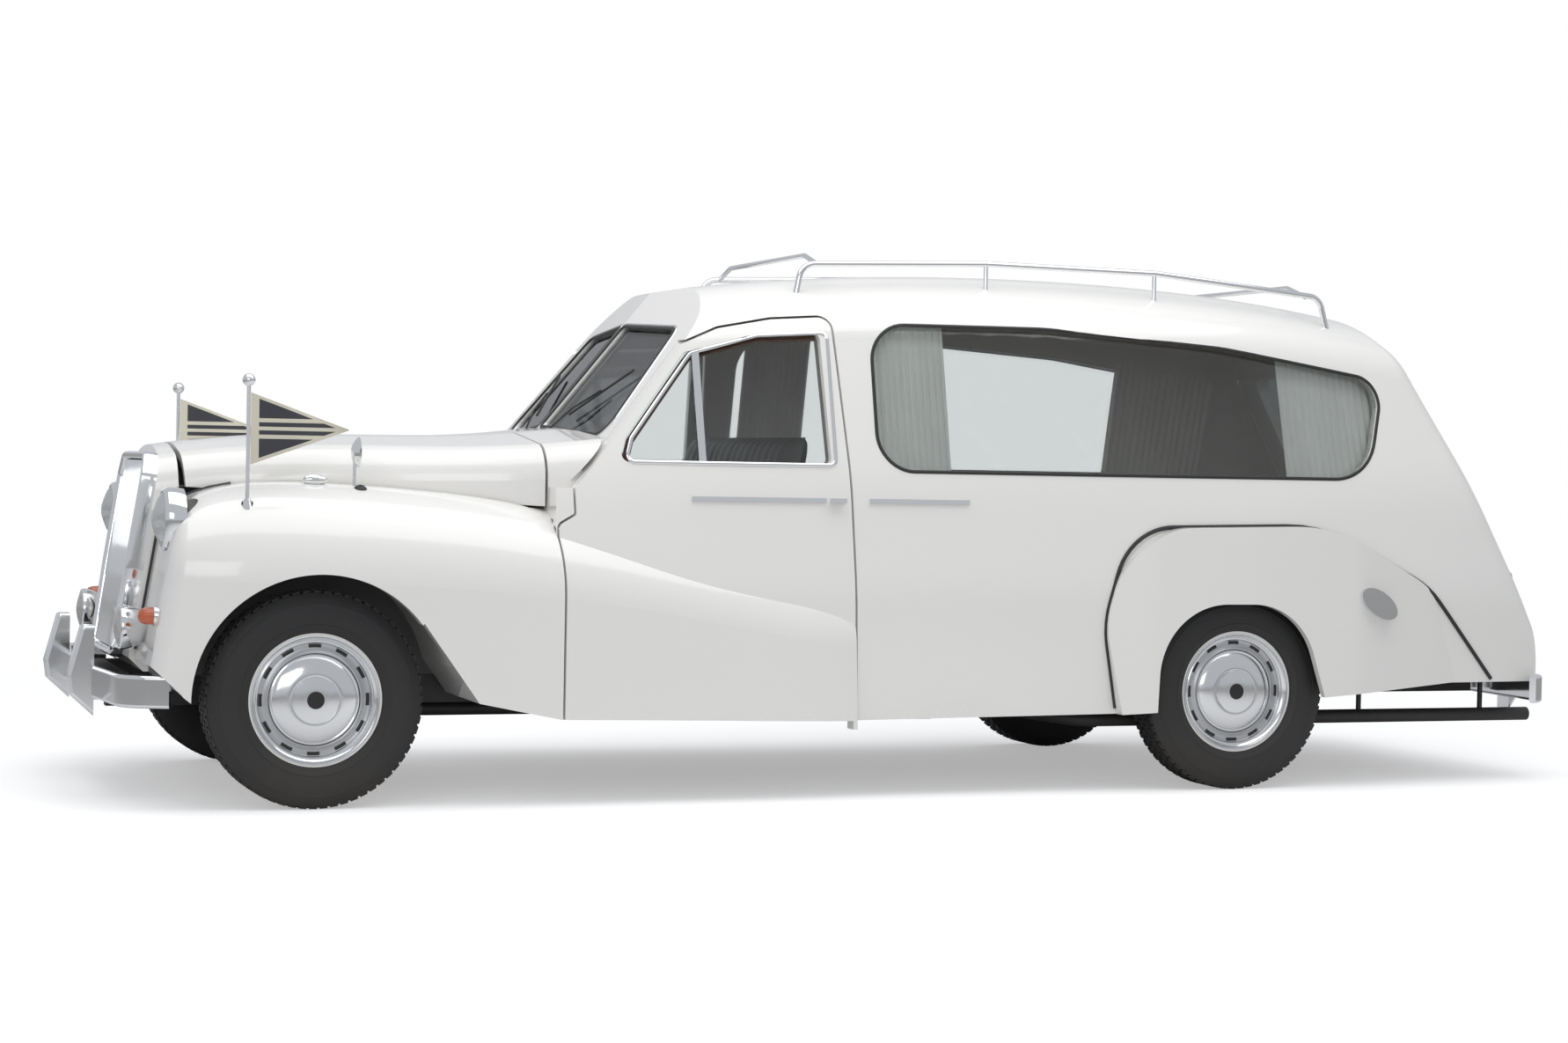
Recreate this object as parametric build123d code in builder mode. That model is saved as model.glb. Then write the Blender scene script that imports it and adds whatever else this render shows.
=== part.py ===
# A white coachbuilt hearse with a glazed load space, at real size in millimetres.
# The front points to -X, the near side with the steering on the far side is -Y, +Z is up.
# The origin lies on the floor, on the centreline, half way along the vehicle.
import os
from math import cos, radians, sin, sqrt, tan

from build123d import *

os.makedirs("parts", exist_ok=True)

# Driving dimensions of the whole vehicle
LENGTH = 5520.0
WHEELBASE = 3353.0
FRONT_OVERHANG = 745.0
ROOF_HEIGHT = 1850.0
HALF_WIDTH = 946.0
FRONT_TRACK = 1486.0
REAR_TRACK = 1575.0

# Panels and the gaps between them
WALL = 45.0
ROOF_WALL = 40.0
GLASS = 6.0
GAP = 8.0
SEAT_CLEARANCE = 0.3
OVERRUN = 400.0

# Wheels and tyres
TYRE_RADIUS = 357.0
TYRE_WIDTH = 182.0
BEAD_RADIUS = 206.0
RIM_WIDTH = 140.0
RIM_WALL = 5.0
TRIM_RADIUS = 223.0
TRIM_STAND = 6.0
CAP_RADIUS = 150.0
CAP_HEIGHT = 34.0
DRUM_RADIUS = 165.0
DRUM_WIDTH = 70.0
AXLE_PIN_RADIUS = 22.0
TREAD_SHARE = 0.80
BULGE_ROUND = 40.0
SHOULDER_ROUND = 28.0
TRIM_DISH = 20.0
VENT_RADIUS = 168.0
DISC_OUT = 30.0
DISC_WALL = 8.0
ARCH_RADIUS = 413.0
WELL_RADIUS = 452.0

FRONT_AXLE_X = FRONT_OVERHANG - LENGTH / 2
REAR_AXLE_X = FRONT_AXLE_X + WHEELBASE
HUB_HEIGHT = TYRE_RADIUS


def along(share):
    """Place along the vehicle, as a share of the wheelbase behind the front axle."""
    return FRONT_AXLE_X + share * WHEELBASE


def out(share):
    """Place across the vehicle, as a share of its half width."""
    return share * HALF_WIDTH


def up(share):
    """Height, as a share of the roof's height."""
    return share * ROOF_HEIGHT


def outline(points_shares):
    """Points of a side view outline from shares of the wheelbase and the roof's height."""
    return [(along(x), up(z)) for x, z in points_shares]


# Body sections from the cowl to the tail: place, half widths at sill, waist, belt, rail
# and crown, then the heights of belt, rail and crown
HULL_SHARES = (
    (0.209, 0.883, 0.905, 0.835, 0.634, 0.381, 0.584, 0.827, 0.876),
    (0.373, 0.893, 0.918, 0.875, 0.710, 0.444, 0.595, 0.881, 0.946),
    (0.596, 0.899, 0.924, 0.899, 0.756, 0.486, 0.595, 0.914, 0.992),
    (0.865, 0.899, 0.926, 0.901, 0.761, 0.486, 0.595, 0.916, 1.000),
    (1.103, 0.893, 0.922, 0.890, 0.740, 0.465, 0.595, 0.889, 0.973),
    (1.268, 0.872, 0.899, 0.862, 0.692, 0.423, 0.595, 0.846, 0.927),
    (1.461, 0.819, 0.835, 0.793, 0.592, 0.359, 0.568, 0.768, 0.849),
)
WAIST_HEIGHT_SHARE = 0.38
HULL_BOTTOM = 240.0
SILL_ROUND = 40.0
WAIST_ROUND = 1300.0
BELT_ROUND = 1000.0
RAIL_ROUND = 200.0
CROWN_ROUND = 640.0
TAIL_ROUND = 100.0

# Windscreen: its plane on the centreline, and how far it sweeps back to the sides
SCREEN_FOOT_SHARES = (0.233, 0.573)
SCREEN_HEAD_SHARES = (0.441, 1.030)
SCREEN_SWEEP = 0.11
SCREEN_WALL = 34.0
SCREEN_RUN = 1.3
TAIL_RUN = 1.1

# Tail: corner at the roof, bend and foot of the sloping back
TAIL_SHARES = ((1.196, 1.010), (1.393, 0.335))
# Underside of the body from the cowl to the tail
SILL_SHARES = ((0.238, 0.157), (0.554, 0.146), (0.857, 0.152), (1.110, 0.205), (1.500, 0.205))

# Nose sections from the grille to the windscreen: place, half width, top height
NOSE_SHARES = (
    (-0.149, 0.372, 0.632),
    (-0.100, 0.418, 0.646),
    (0.081, 0.550, 0.664),
    (0.236, 0.740, 0.674),
    (0.283, 0.840, 0.684),
    (0.334, 0.880, 0.697),
)
NOSE_BOTTOM = 900.0
NOSE_DROP = 52.0
NOSE_ROUND = 120.0
NOSE_CROWN_ROUND = 900.0
BONNET_WALL = 30.0
COWL_ZONE_SHARES = ((0.2384, 0.516), (0.2384, 1.000), (0.420, 1.000), (0.420, 0.516))

# Front wing sections: place on the floor, outer half width, top height, rounding, lean
WING_SHARES = (
    (-0.182, 0.905, 0.530, 0.110, 9.5),
    (-0.118, 0.955, 0.566, 0.160, 6.0),
    (0.030, 0.967, 0.573, 0.173, 0.0),
    (0.134, 0.966, 0.560, 0.168, 0.0),
    (0.248, 0.960, 0.530, 0.157, 0.0),
    (0.388, 0.948, 0.470, 0.135, 0.0),
    (0.567, 0.915, 0.400, 0.108, 0.0),
)
WING_INNER = 430.0
FRONT_WELL_OUTER = 872.0
WING_SILL_SHARES = (
    (0.100, -0.200), (0.100, 0.188), (0.156, 0.188), (0.240, 0.157), (0.554, 0.146), (0.554, -0.200),
)
WING_NOSE_ROUND = 70.0
WING_CHIN_SHARES = ((-0.200, 0.100), (-0.200, 0.262), (-0.163, 0.262), (-0.128, 0.200), (-0.060, 0.100))
ARCH_TAIL_SHARES = ((0.100, 0.330), (0.156, 0.188), (0.180, 0.100))
BAY_FRONT_SHARE = -0.105
BAY_REAR_SHARE = 0.226

# Bonnet: side view between its two shut lines and down to the valley beside the wings
BONNET_SHARES = ((-0.115, 0.700), (-0.109, 0.562), (0.236, 0.538), (0.236, 0.760))
COWL_FRONT_SHARE = 0.2384
COWL_FOOT_SHARE = 0.516
SCUTTLE_DEPTH = 75.0

# Door outline, from the front foot round over the windscreen pillar to the rear foot
DOOR_SHARES = (
    (0.246, 0.120),
    (0.246, 0.505),
    (0.264, 0.524),
    (0.264, 0.576),
    (0.299, 0.653),
    (0.371, 0.830),
    (0.427, 0.874),
    (0.484, 0.894),
    (0.546, 0.902),
    (0.551, 0.670),
    (0.563, 0.120),
)
DOOR_ROUNDS_SHARES = (0, 0.008, 0.004, 0.008, 0.020, 0.040, 0.020, 0.020, 0.012, 0.060, 0)
DOOR_SLANT = 0.10
DOOR_WINDOW_SHARES = (
    (0.311, 0.622), (0.319, 0.666), (0.387, 0.826), (0.458, 0.862), (0.533, 0.871), (0.534, 0.622),
)
DOOR_WINDOW_ROUND = 24.0
DIVISION_BAR_SHARE = 0.392
DIVISION_BAR_WIDTH = 26.0

# Quarter window beside the load space
QUARTER_SHARES = (
    (0.581, 0.613), (0.581, 0.891), (0.785, 0.894), (0.996, 0.868), (1.202, 0.812), (1.166, 0.613),
)
QUARTER_ROUNDS_SHARES = (0.040, 0.040, 0.300, 0.300, 0.030, 0.060)

# Windscreen openings either side of the centre bar
SCREEN_BAR = 30.0
SCREEN_OPENING_SHARES = ((0.000, 0.690), (0.000, 0.886), (0.560, 0.872), (0.690, 0.672))
SCREEN_OPENING_ROUND = 45.0
SCREEN_CORNER_ROUND = 12.0

# Tailgate outline across the back, and its window
TAILGATE_HALF = 600.0
TAILGATE_FOOT = 618.0
TAILGATE_SEAM_SHARE = 1.236
TAILGATE_ROUND = 60.0
TAIL_WINDOW_HALF = 470.0
TAIL_WINDOW_FOOT = 1130.0
TAIL_WINDOW_HEAD = 1545.0
TAIL_WINDOW_ROUND = 70.0

# The roof panel's lower edge in side view, from the windscreen to the tailgate
ROOF_SPLIT_SHARES = (
    (0.380, 0.905), (0.480, 0.924), (0.650, 0.936), (0.865, 0.940), (1.080, 0.915), (1.180, 0.885),
)
PILLAR_SPLIT_SHARE = 0.530

# Rear wing: side outline, and its outer face in plan
REAR_WING_SHARES = (
    (0.857, 0.152), (0.838, 0.330), (0.868, 0.512), (1.100, 0.520), (1.240, 0.400), (1.330, 0.212),
)
REAR_WING_ROUNDS_SHARES = (0.100, 0.095, 0.180, 0.100)
REAR_WING_PLAN_SHARES = ((0.800, 0.900), (0.890, 0.992), (1.010, 1.000), (1.140, 0.985), (1.345, 0.830))
REAR_WING_PLAN_ROUNDS_SHARES = (0.100, 0.100, 0.100)
REAR_WING_ROOT_SHARE = 0.790
REAR_ARCH_SHARES = ((0.893, 0.100), (0.899, 0.366), (1.064, 0.366), (1.112, 0.100))
REAR_ARCH_ROUND = 265.0
REAR_WING_SKIN = 36.0
REAR_WELL_INNER = 640.0
WHEELHOUSE_WALL = 16.0


# Chassis and running gear
RAIL_OUT = 380.0
RAIL_WIDTH = 60.0
RAIL_SHARES = (
    (-0.185, 0.168), (-0.185, 0.222), (0.790, 0.222), (0.860, 0.318), (1.125, 0.318), (1.195, 0.222),
    (1.385, 0.222), (1.385, 0.168), (1.180, 0.168), (1.105, 0.270), (0.880, 0.270), (0.805, 0.168),
)
CROSS_SHARES = (-0.170, -0.075, 0.140, 0.360, 0.750, 1.230, 1.365)
CROSS_WIDTH = 70.0
CROSS_HEIGHT = 100.0
SHAFT_HOLE = 38.0
ENGINE_LENGTH = 820.0
ENGINE_WIDTH = 460.0
ENGINE_HEIGHT = 560.0
ENGINE_AFT = 110.0
GEARBOX_LENGTH = 240.0
BAY_WALL = 28.0
ARM_HEIGHT = 40.0
ARM_WIDTH = 90.0
KINGPIN_OUT = 608.0
KINGPIN_BARREL = 24.0
KINGPIN_RADIUS = 12.0
KINGPIN_BARREL_HEIGHT = 150.0
RUNNING_FIT = 0.05
AXLE_TUBE = 40.0
DIFF_RADIUS = 130.0
SHAFT_RADIUS = 32.0
SPRING_OUT = 470.0
SPRING_WIDTH = 60.0
SPRING_REACH = 610.0
SPRING_THICKNESS = 34.0
SPRING_RISE = 70.0
SPRING_EYE = 40.0
PIPE_RADIUS = 25.5
PIPE_LOW = 237.0
PIPE_HIGH = 275.0
PIPE_OUT = 600.0
PIPE_IN = 230.0
PIPE_BEND = 140.0
PIPE_SHARES = (0.060, 0.760, 0.850)
PIPE_TAIL = 5.0
SILENCER_RADIUS = 62.0
HANGER_SHARES = (1.20, 1.36)
MANIFOLD_LENGTH = 60.0
SILENCER_SHARES = (0.520, 0.720)
TANK_SHARES = (1.245, 1.345)
TANK_HALF = 330.0
TANK_HEIGHT = 190.0
TANK_ROUND = 40.0

# Floor, bulkhead, seat, deck and dashboard
FLOOR_WALL = 20.0
FLOOR_STEP_SHARE = 0.770
FLOOR_HALF = 780.0
FLOOR_BACK_SHARE = 1.400
BULKHEAD_WALL = 18.0
SEAT_SHARES = (0.385, 0.545)
SEAT_HALF = 620.0
SEAT_BASE_HEIGHT = 150.0
CUSHION_HEIGHT = 150.0
BACKREST_THICKNESS = 130.0
BACKREST_HEIGHT = 520.0
BACKREST_LEAN = 12.0
SOFT_ROUND = 35.0
PARTITION_SHARES = (0.575, 0.583)
PARTITION_HEAD = 1140.0
DASH_SHARES = (
    (0.2450, 0.535), (0.2450, 0.600), (0.300, 0.618), (0.322, 0.590), (0.318, 0.500), (0.300, 0.500),
    (0.296, 0.540),
)
DASH_HALF = 700.0
COLUMN_TILT = 35.0
COLUMN_RADIUS = 22.0
COLUMN_LENGTH = 330.0
STEER_CENTRE_AFT = 1300.0
STEER_CENTRE_OUT = 380.0
STEER_CENTRE_HEIGHT = 1195.0
STEER_RADIUS = 205.0
STEER_RIM = 12.0
STEER_HUB = 40.0
DECK_HALF = 590.0
DECK_WALL = 25.0
DECK_RISE = 190.0
DECK_SHARES = (0.600, 1.330)
ROLLER_RADIUS = 18.0
ROLLER_HALF = 300.0
ROLLER_STAND = 4.0
ROLLER_BOARD = 4.0
ROLLER_BOARD_HALF = 335.0
ROLLER_SHARES = (0.68, 0.80, 0.92, 1.04, 1.16, 1.28)

# Curtains inside the quarter windows
CURTAIN_THICKNESS = 14.0
CURTAIN_SHARES = (
    ((0.586, 0.606), (0.586, 0.900), (0.672, 0.905), (0.672, 0.606)),
    ((1.068, 0.606), (1.068, 0.872), (1.215, 0.818), (1.180, 0.606)),
)

# Lamps, mirrors, flags
HEADLAMP_OUT = 680.0
HEADLAMP_HEIGHT = 937.0
HEADLAMP_AHEAD = 446.0
HEADLAMP_RADIUS = 105.0
HEADLAMP_RING = 40.0
HEADLAMP_RIM = 14.0
HEADLAMP_BOWL = 120.0
LENS_DOME = 32.0
FOG_OUT = 545.0
FOG_HEIGHT = 580.0
FOG_AHEAD = 590.0
FOG_RADIUS = 75.0
FOG_BOWL = 95.0
AMBER_OUT = 726.0
AMBER_HEIGHT = 627.0
AMBER_AHEAD = 490.0
AMBER_RADIUS = 33.0
AMBER_LENGTH = 75.0
TORPEDO_OUT = 640.0
TORPEDO_HEIGHT = 1072.0
TORPEDO_AFT = 22.0
TORPEDO_LENGTH = 84.0
TORPEDO_RADIUS = 20.0
TORPEDO_SHARES = ((-0.50, 0.30), (-0.40, 0.70), (-0.20, 1.00), (0.10, 0.95), (0.35, 0.60), (0.50, 0.15))
MIRROR_OUT = 640.0
MIRROR_AFT = 165.0
MIRROR_HEIGHT = 1165.0
MIRROR_RADIUS = 52.0
MIRROR_THICKNESS = 26.0
MIRROR_POST = 6.0
MAST_AHEAD = 226.0
MAST_OUT = 785.0
MAST_RADIUS = 6.5
MAST_TOP = 1372.0
BALL_RADIUS = 21.0
MAST_FOOT_RADIUS = 20.0
MAST_FOOT_TOP = 1010.0
PENNANT_LOW = 1119.0
PENNANT_HIGH = 1353.0
PENNANT_TIP = 1237.0
PENNANT_LENGTH = 335.0
PENNANT_THICKNESS = 4.0
TAIL_LAMP_OUT = 655.0
TAIL_LAMP_HEIGHT = 760.0
TAIL_LAMP_RADIUS = 40.0
TAIL_LAMP_END = 4645.0
TAIL_LAMP_ROUND = 14.0

# Bumpers
BUMPER_HEIGHT = 104.0
BUMPER_THICKNESS = 26.0
BUMPER_ROUND = 11.0
FRONT_BUMPER_LEVEL = 390.0
FRONT_BUMPER_NOSE = 85.0
FRONT_BUMPER_HALF = 862.0
FRONT_BUMPER_WRAP = 185.0
BUMPER_PLAN_SHARES = ((1.000, 1.000), (0.240, 0.935), (0.000, 0.400))
BUMPER_BENDS = (120.0, 900.0)
OVERRIDER_OUT = 368.0
OVERRIDER_WIDTH = 78.0
OVERRIDER_ROUND = 24.0
OVERRIDER_SHARES = ((0.000, 0.150), (0.900, 0.188), (1.000, 0.222), (0.480, 0.312), (0.000, 0.312))
REAR_BUMPER_LEVEL = 352.0
REAR_BUMPER_NOSE = 55.0
REAR_BUMPER_HALF = 868.0
REAR_BUMPER_WRAP = 105.0
REAR_OVERRIDER_OUT = 520.0
BRACKET_THICKNESS = 14.0
BRACKET_HEIGHT = 60.0

# Radiator grille
GRILLE_LEAN = 9.0
GRILLE_FOOT_AHEAD = 676.0
GRILLE_SHARES = (
    (-0.285, 0.255), (-0.330, 0.420), (-0.335, 0.590), (-0.290, 0.634),
    (0.290, 0.634), (0.335, 0.590), (0.330, 0.420), (0.285, 0.255),
)
GRILLE_ROUND = 45.0
GRILLE_DEPTH = 52.0
GRILLE_RIM = 26.0
GRILLE_BACK = 12.0
SLAT_COUNT = 17
SLAT_THICKNESS = 7.0
SLAT_DEPTH = 26.0
NOSE_PANEL_SHARES = (
    (-0.1170, 0.700), (-0.1140, 0.400), (-0.105, 0.230), (-0.150, 0.230), (-0.1644, 0.255), (-0.1256, 0.700),
)
APRON_HEAD_SHARE = 0.520

# Roof rack
RACK_OUT = 545.0
RACK_TUBE = 11.0
RACK_POST = 8.0
RACK_BAR = 9.0
RACK_SHARES = (
    (0.513, 0.900), (0.524, 1.006), (0.736, 1.021), (0.939, 1.017), (1.147, 0.983), (1.160, 0.900),
)
RACK_BEND = 60.0
RACK_BAR_RISE = 40.0
RACK_BAR_SHARE = 0.75

# Side trim and door furniture
STRIP_HEIGHT = 1030.0
STRIP_DEPTH = 16.0
STRIP_STAND = 7.0
DOOR_STRIP_SHARES = (0.378, 0.522)
PANEL_STRIP_SHARES = (0.569, 0.681)
HANDLE_SHARES = (0.525, 0.542)
HANDLE_STAND = 26.0
POD_AFT = 3896.0
POD_HEIGHT = 680.0
POD_HALF_LENGTH = 84.0
POD_HALF_HEIGHT = 44.0
POD_SEAT = 90.0
POD_TILT = 33.0


def both_halves(points, rounds):
    """A closed section's corners and roundings, from those of its right half."""
    left = [(-y, z) for y, z in reversed(points)]
    return points + left, rounds + list(reversed(rounds))


def hull_loft(inset, roof_inset, drop):
    """The body's smooth outer form, or one inset by a wall."""
    with BuildPart() as form:
        for x, sill_y, waist_y, belt_y, rail_y, crown_y, belt_z, rail_z, crown_z in HULL_SHARES:
            corners, rounds = both_halves(
                [
                    (out(sill_y) - inset, HULL_BOTTOM - drop),
                    (out(waist_y) - inset, up(WAIST_HEIGHT_SHARE)),
                    (out(belt_y) - inset, up(belt_z)),
                    (out(rail_y) - inset, up(rail_z) - roof_inset / 2),
                    (out(crown_y) - inset / 2, up(crown_z) - roof_inset),
                ],
                [SILL_ROUND, WAIST_ROUND, BELT_ROUND, RAIL_ROUND - inset, CROWN_ROUND],
            )
            with BuildSketch(Plane.YZ.offset(along(x))):
                with BuildLine():
                    FilletPolyline(*corners, radius=rounds, close=True)
                make_face()
        loft()
    return form.part


def screen_cutter(setback):
    """Everything ahead of the swept V windscreen, moved back by a wall."""
    foot_x, foot_z = along(SCREEN_FOOT_SHARES[0]) + setback, up(SCREEN_FOOT_SHARES[1])
    head_x, head_z = along(SCREEN_HEAD_SHARES[0]) + setback, up(SCREEN_HEAD_SHARES[1])
    with BuildPart() as cutter:
        for side in (-1, 1):
            with BuildSketch(Plane.XZ):
                with BuildLine():
                    Polyline(
                        (foot_x - WHEELBASE / 2, foot_z),
                        (foot_x, foot_z),
                        (head_x, head_z),
                        (head_x - WHEELBASE / 2, head_z),
                        close=True,
                    )
                make_face()
            extrude(amount=HALF_WIDTH + OVERRUN, dir=(SCREEN_SWEEP, side, 0))
    return cutter.part


def tail_cutter(setback):
    """Everything behind the sloping back, moved forward by a wall."""
    (head_x, head_z), (bend_x, bend_z) = [(x - setback, z) for x, z in outline(TAIL_SHARES)]
    with BuildPart() as cutter:
        with BuildSketch(Plane.XZ):
            with BuildLine():
                Polyline(
                    (head_x, head_z),
                    (bend_x, bend_z),
                    (bend_x, -ROOF_HEIGHT),
                    (bend_x + WHEELBASE, -ROOF_HEIGHT),
                    (bend_x + WHEELBASE, head_z),
                    close=True,
                )
            make_face()
        extrude(amount=2 * HALF_WIDTH, both=True)
    return cutter.part


def hull(inset, roof_inset, drop, screen_setback, tail_setback, front_run):
    """Outer form cut to the windscreen, the back and the bulkhead."""
    with BuildPart() as form:
        add(hull_loft(inset, roof_inset, drop))
        add(tail_cutter(tail_setback), mode=Mode.SUBTRACT)
        slope = form.faces().filter_by(GeomType.PLANE).filter_by(lambda f: 0.5 < f.normal_at().X < 0.99)
        bend_height = up(TAIL_SHARES[1][1])
        fillet(slope.edges().filter_by(lambda e: e.center().Z > bend_height + GAP), TAIL_ROUND - tail_setback)
        add(screen_cutter(screen_setback), mode=Mode.SUBTRACT)
        with Locations((along(COWL_FRONT_SHARE) - front_run, 0, up(SCREEN_FOOT_SHARES[1]))):
            Box(
                WHEELBASE,
                4 * HALF_WIDTH,
                2 * ROOF_HEIGHT,
                align=(Align.MAX, Align.CENTER, Align.MAX),
                mode=Mode.SUBTRACT,
            )
        if drop == 0:
            with BuildSketch(Plane.XZ):
                with BuildLine():
                    Polyline(
                        *outline(SILL_SHARES),
                        (along(1.6), -ROOF_HEIGHT),
                        (along(0), -ROOF_HEIGHT),
                        close=True,
                    )
                make_face()
            extrude(amount=2 * HALF_WIDTH, both=True, mode=Mode.SUBTRACT)
    return form.part


def nose_loft(inset):
    """The form of bonnet, cowl and nose between the wings."""
    with BuildPart() as form:
        for x, half, top in NOSE_SHARES:
            corners, rounds = both_halves(
                [
                    (out(half) - inset, NOSE_BOTTOM),
                    (out(half) - inset, up(top) - NOSE_DROP - inset),
                    (out(half) / 3, up(top) - inset),
                ],
                [0, NOSE_ROUND - inset, NOSE_CROWN_ROUND],
            )
            with BuildSketch(Plane.YZ.offset(along(x))):
                with BuildLine():
                    FilletPolyline(*corners, radius=rounds, close=True)
                make_face()
        loft()
    return form.part


def wing_loft():
    """The left front wing's pontoon, fading out along the door."""
    with BuildPart() as form:
        for x, side_y, top, rounding, lean in WING_SHARES:
            ahead = (cos(radians(lean)), 0, -sin(radians(lean)))
            with BuildSketch(Plane(origin=(along(x), 0, 0), x_dir=(0, 1, 0), z_dir=ahead)):
                with BuildLine():
                    FilletPolyline(
                        (-WING_INNER, HULL_BOTTOM),
                        (-WING_INNER, up(top)),
                        (-out(side_y), up(top)),
                        (-out(side_y), HULL_BOTTOM),
                        radius=[0, 0, up(rounding), 0],
                        close=True,
                    )
                make_face()
        loft()
        nose_edges = form.faces().sort_by(Axis.X)[0].edges()
        fillet(
            nose_edges.filter_by(
                lambda e: e.center().Y < -WING_INNER - GAP and e.center().Z > HULL_BOTTOM + GAP,
            ),
            WING_NOSE_ROUND,
        )
    return form.part


def side_prism(points_shares, rounds, grow, slant):
    """Prism through the left side of the body, its outline grown by a gap."""
    with BuildPart() as prism:
        with BuildSketch(Plane.XZ.offset(HALF_WIDTH + WALL)):
            with BuildLine():
                FilletPolyline(*outline(points_shares), radius=rounds, close=True)
            make_face()
            if grow:
                offset(amount=grow, kind=Kind.INTERSECTION)
        extrude(amount=HALF_WIDTH / 2, dir=(-slant, 1, 0))
    return prism.part


def side_region(points_shares):
    """Straight prism right across the body from a side view outline."""
    with BuildPart() as region:
        with BuildSketch(Plane.XZ):
            with BuildLine():
                Polyline(*outline(points_shares), close=True)
            make_face()
        extrude(amount=2 * HALF_WIDTH, both=True)
    return region.part


def mirrored(part):
    """The same piece on the other side of the centreline."""
    return mirror(part, about=Plane.XZ)


def dome_middle(base, rise, radius):
    """Point half way out on a dome of a given rise, its arc centred on the axis."""
    sphere = (radius * radius + rise * rise) / (2 * rise)
    return base + rise - sphere + sqrt(sphere * sphere - radius * radius / 4), radius / 2


# Basic forms
outer = hull(0, 0, 0, 0, 0, 0)
inner = hull(WALL, ROOF_WALL, OVERRUN, SCREEN_WALL * SCREEN_RUN, WALL * TAIL_RUN, OVERRUN)
inner_side = hull_loft(WALL, ROOF_WALL, OVERRUN)
pillar_core = hull_loft(WALL + GAP, ROOF_WALL, OVERRUN)
outer_side = hull_loft(0, 0, 0)
glass_side = hull_loft(WALL / 2 - GLASS / 2, ROOF_WALL / 2, 0)
nose_outer = nose_loft(0)
nose_inner = nose_loft(BONNET_WALL)
nose_clear = nose_loft(-GAP)
wing_form = wing_loft()
door_rounds = [WHEELBASE * share for share in DOOR_ROUNDS_SHARES]
door_prism = side_prism(DOOR_SHARES, door_rounds, 0, DOOR_SLANT)
door_gap = side_prism(DOOR_SHARES, door_rounds, GAP, DOOR_SLANT)
door_window = side_prism(DOOR_WINDOW_SHARES, DOOR_WINDOW_ROUND, 0, DOOR_SLANT)
quarter_rounds = [WHEELBASE * share for share in QUARTER_ROUNDS_SHARES]
quarter_window = side_prism(QUARTER_SHARES, quarter_rounds, 0, 0)
ahead_of_screen = screen_cutter(0)

with BuildPart() as shell:
    add(outer)
    add(inner, mode=Mode.SUBTRACT)

with BuildPart() as door_opening:
    add(door_gap)
    add(pillar_core, mode=Mode.SUBTRACT)

with BuildPart() as scuttle:
    with Locations((along(COWL_FRONT_SHARE), 0, up(COWL_FOOT_SHARE))):
        Box(
            SCUTTLE_DEPTH,
            2 * HALF_WIDTH,
            up(SCREEN_FOOT_SHARES[1]) - up(COWL_FOOT_SHARE),
            align=(Align.MIN, Align.CENTER, Align.MIN),
        )
    add(outer, mode=Mode.INTERSECT)

with BuildPart() as roof_region:
    top_shares = ((ROOF_SPLIT_SHARES[-1][0], 1.2), (ROOF_SPLIT_SHARES[0][0], 1.2))
    add(side_region(ROOF_SPLIT_SHARES + top_shares))

with BuildPart() as tailgate_prism:
    with BuildSketch(Plane.YZ.offset(along(TAILGATE_SEAM_SHARE))):
        with BuildLine():
            FilletPolyline(
                (-TAILGATE_HALF, TAILGATE_FOOT),
                (TAILGATE_HALF, TAILGATE_FOOT),
                (TAILGATE_HALF, 2 * ROOF_HEIGHT),
                (-TAILGATE_HALF, 2 * ROOF_HEIGHT),
                radius=[TAILGATE_ROUND, TAILGATE_ROUND, 0, 0],
                close=True,
            )
        make_face()
    extrude(amount=WHEELBASE)

with BuildPart() as tailgate_opening:
    with BuildSketch(Plane.YZ.offset(along(TAILGATE_SEAM_SHARE) - GAP)):
        with BuildLine():
            FilletPolyline(
                (-TAILGATE_HALF - GAP, TAILGATE_FOOT - GAP),
                (TAILGATE_HALF + GAP, TAILGATE_FOOT - GAP),
                (TAILGATE_HALF + GAP, 2 * ROOF_HEIGHT),
                (-TAILGATE_HALF - GAP, 2 * ROOF_HEIGHT),
                radius=[TAILGATE_ROUND + GAP, TAILGATE_ROUND + GAP, 0, 0],
                close=True,
            )
        make_face()
    extrude(amount=WHEELBASE)

with BuildPart() as tail_window:
    with BuildSketch(Plane.YZ.offset(along(1))):
        with Locations((0, (TAIL_WINDOW_HEAD + TAIL_WINDOW_FOOT) / 2)):
            RectangleRounded(2 * TAIL_WINDOW_HALF, TAIL_WINDOW_HEAD - TAIL_WINDOW_FOOT, TAIL_WINDOW_ROUND)
    extrude(amount=WHEELBASE)

with BuildPart() as screen_window:
    for side in (-1, 1):
        with BuildSketch(Plane.YZ):
            with BuildLine():
                corners = [(side * max(out(y), SCREEN_BAR / 2), up(z)) for y, z in SCREEN_OPENING_SHARES]
                FilletPolyline(
                    *corners,
                    radius=[
                        SCREEN_CORNER_ROUND,
                        SCREEN_CORNER_ROUND,
                        SCREEN_OPENING_ROUND,
                        SCREEN_OPENING_ROUND,
                    ],
                    close=True,
                )
            make_face()
        extrude(amount=-LENGTH)
    split(bisect_by=Plane.YZ.offset(along(0)), keep=Keep.TOP)

# Cab and load space shell, split where the panels meet
with BuildPart() as split_front:
    with Locations((along(PILLAR_SPLIT_SHARE), 0, 0)):
        Box(LENGTH, 4 * HALF_WIDTH, 4 * ROOF_HEIGHT, align=(Align.MAX, Align.CENTER, Align.CENTER))

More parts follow.
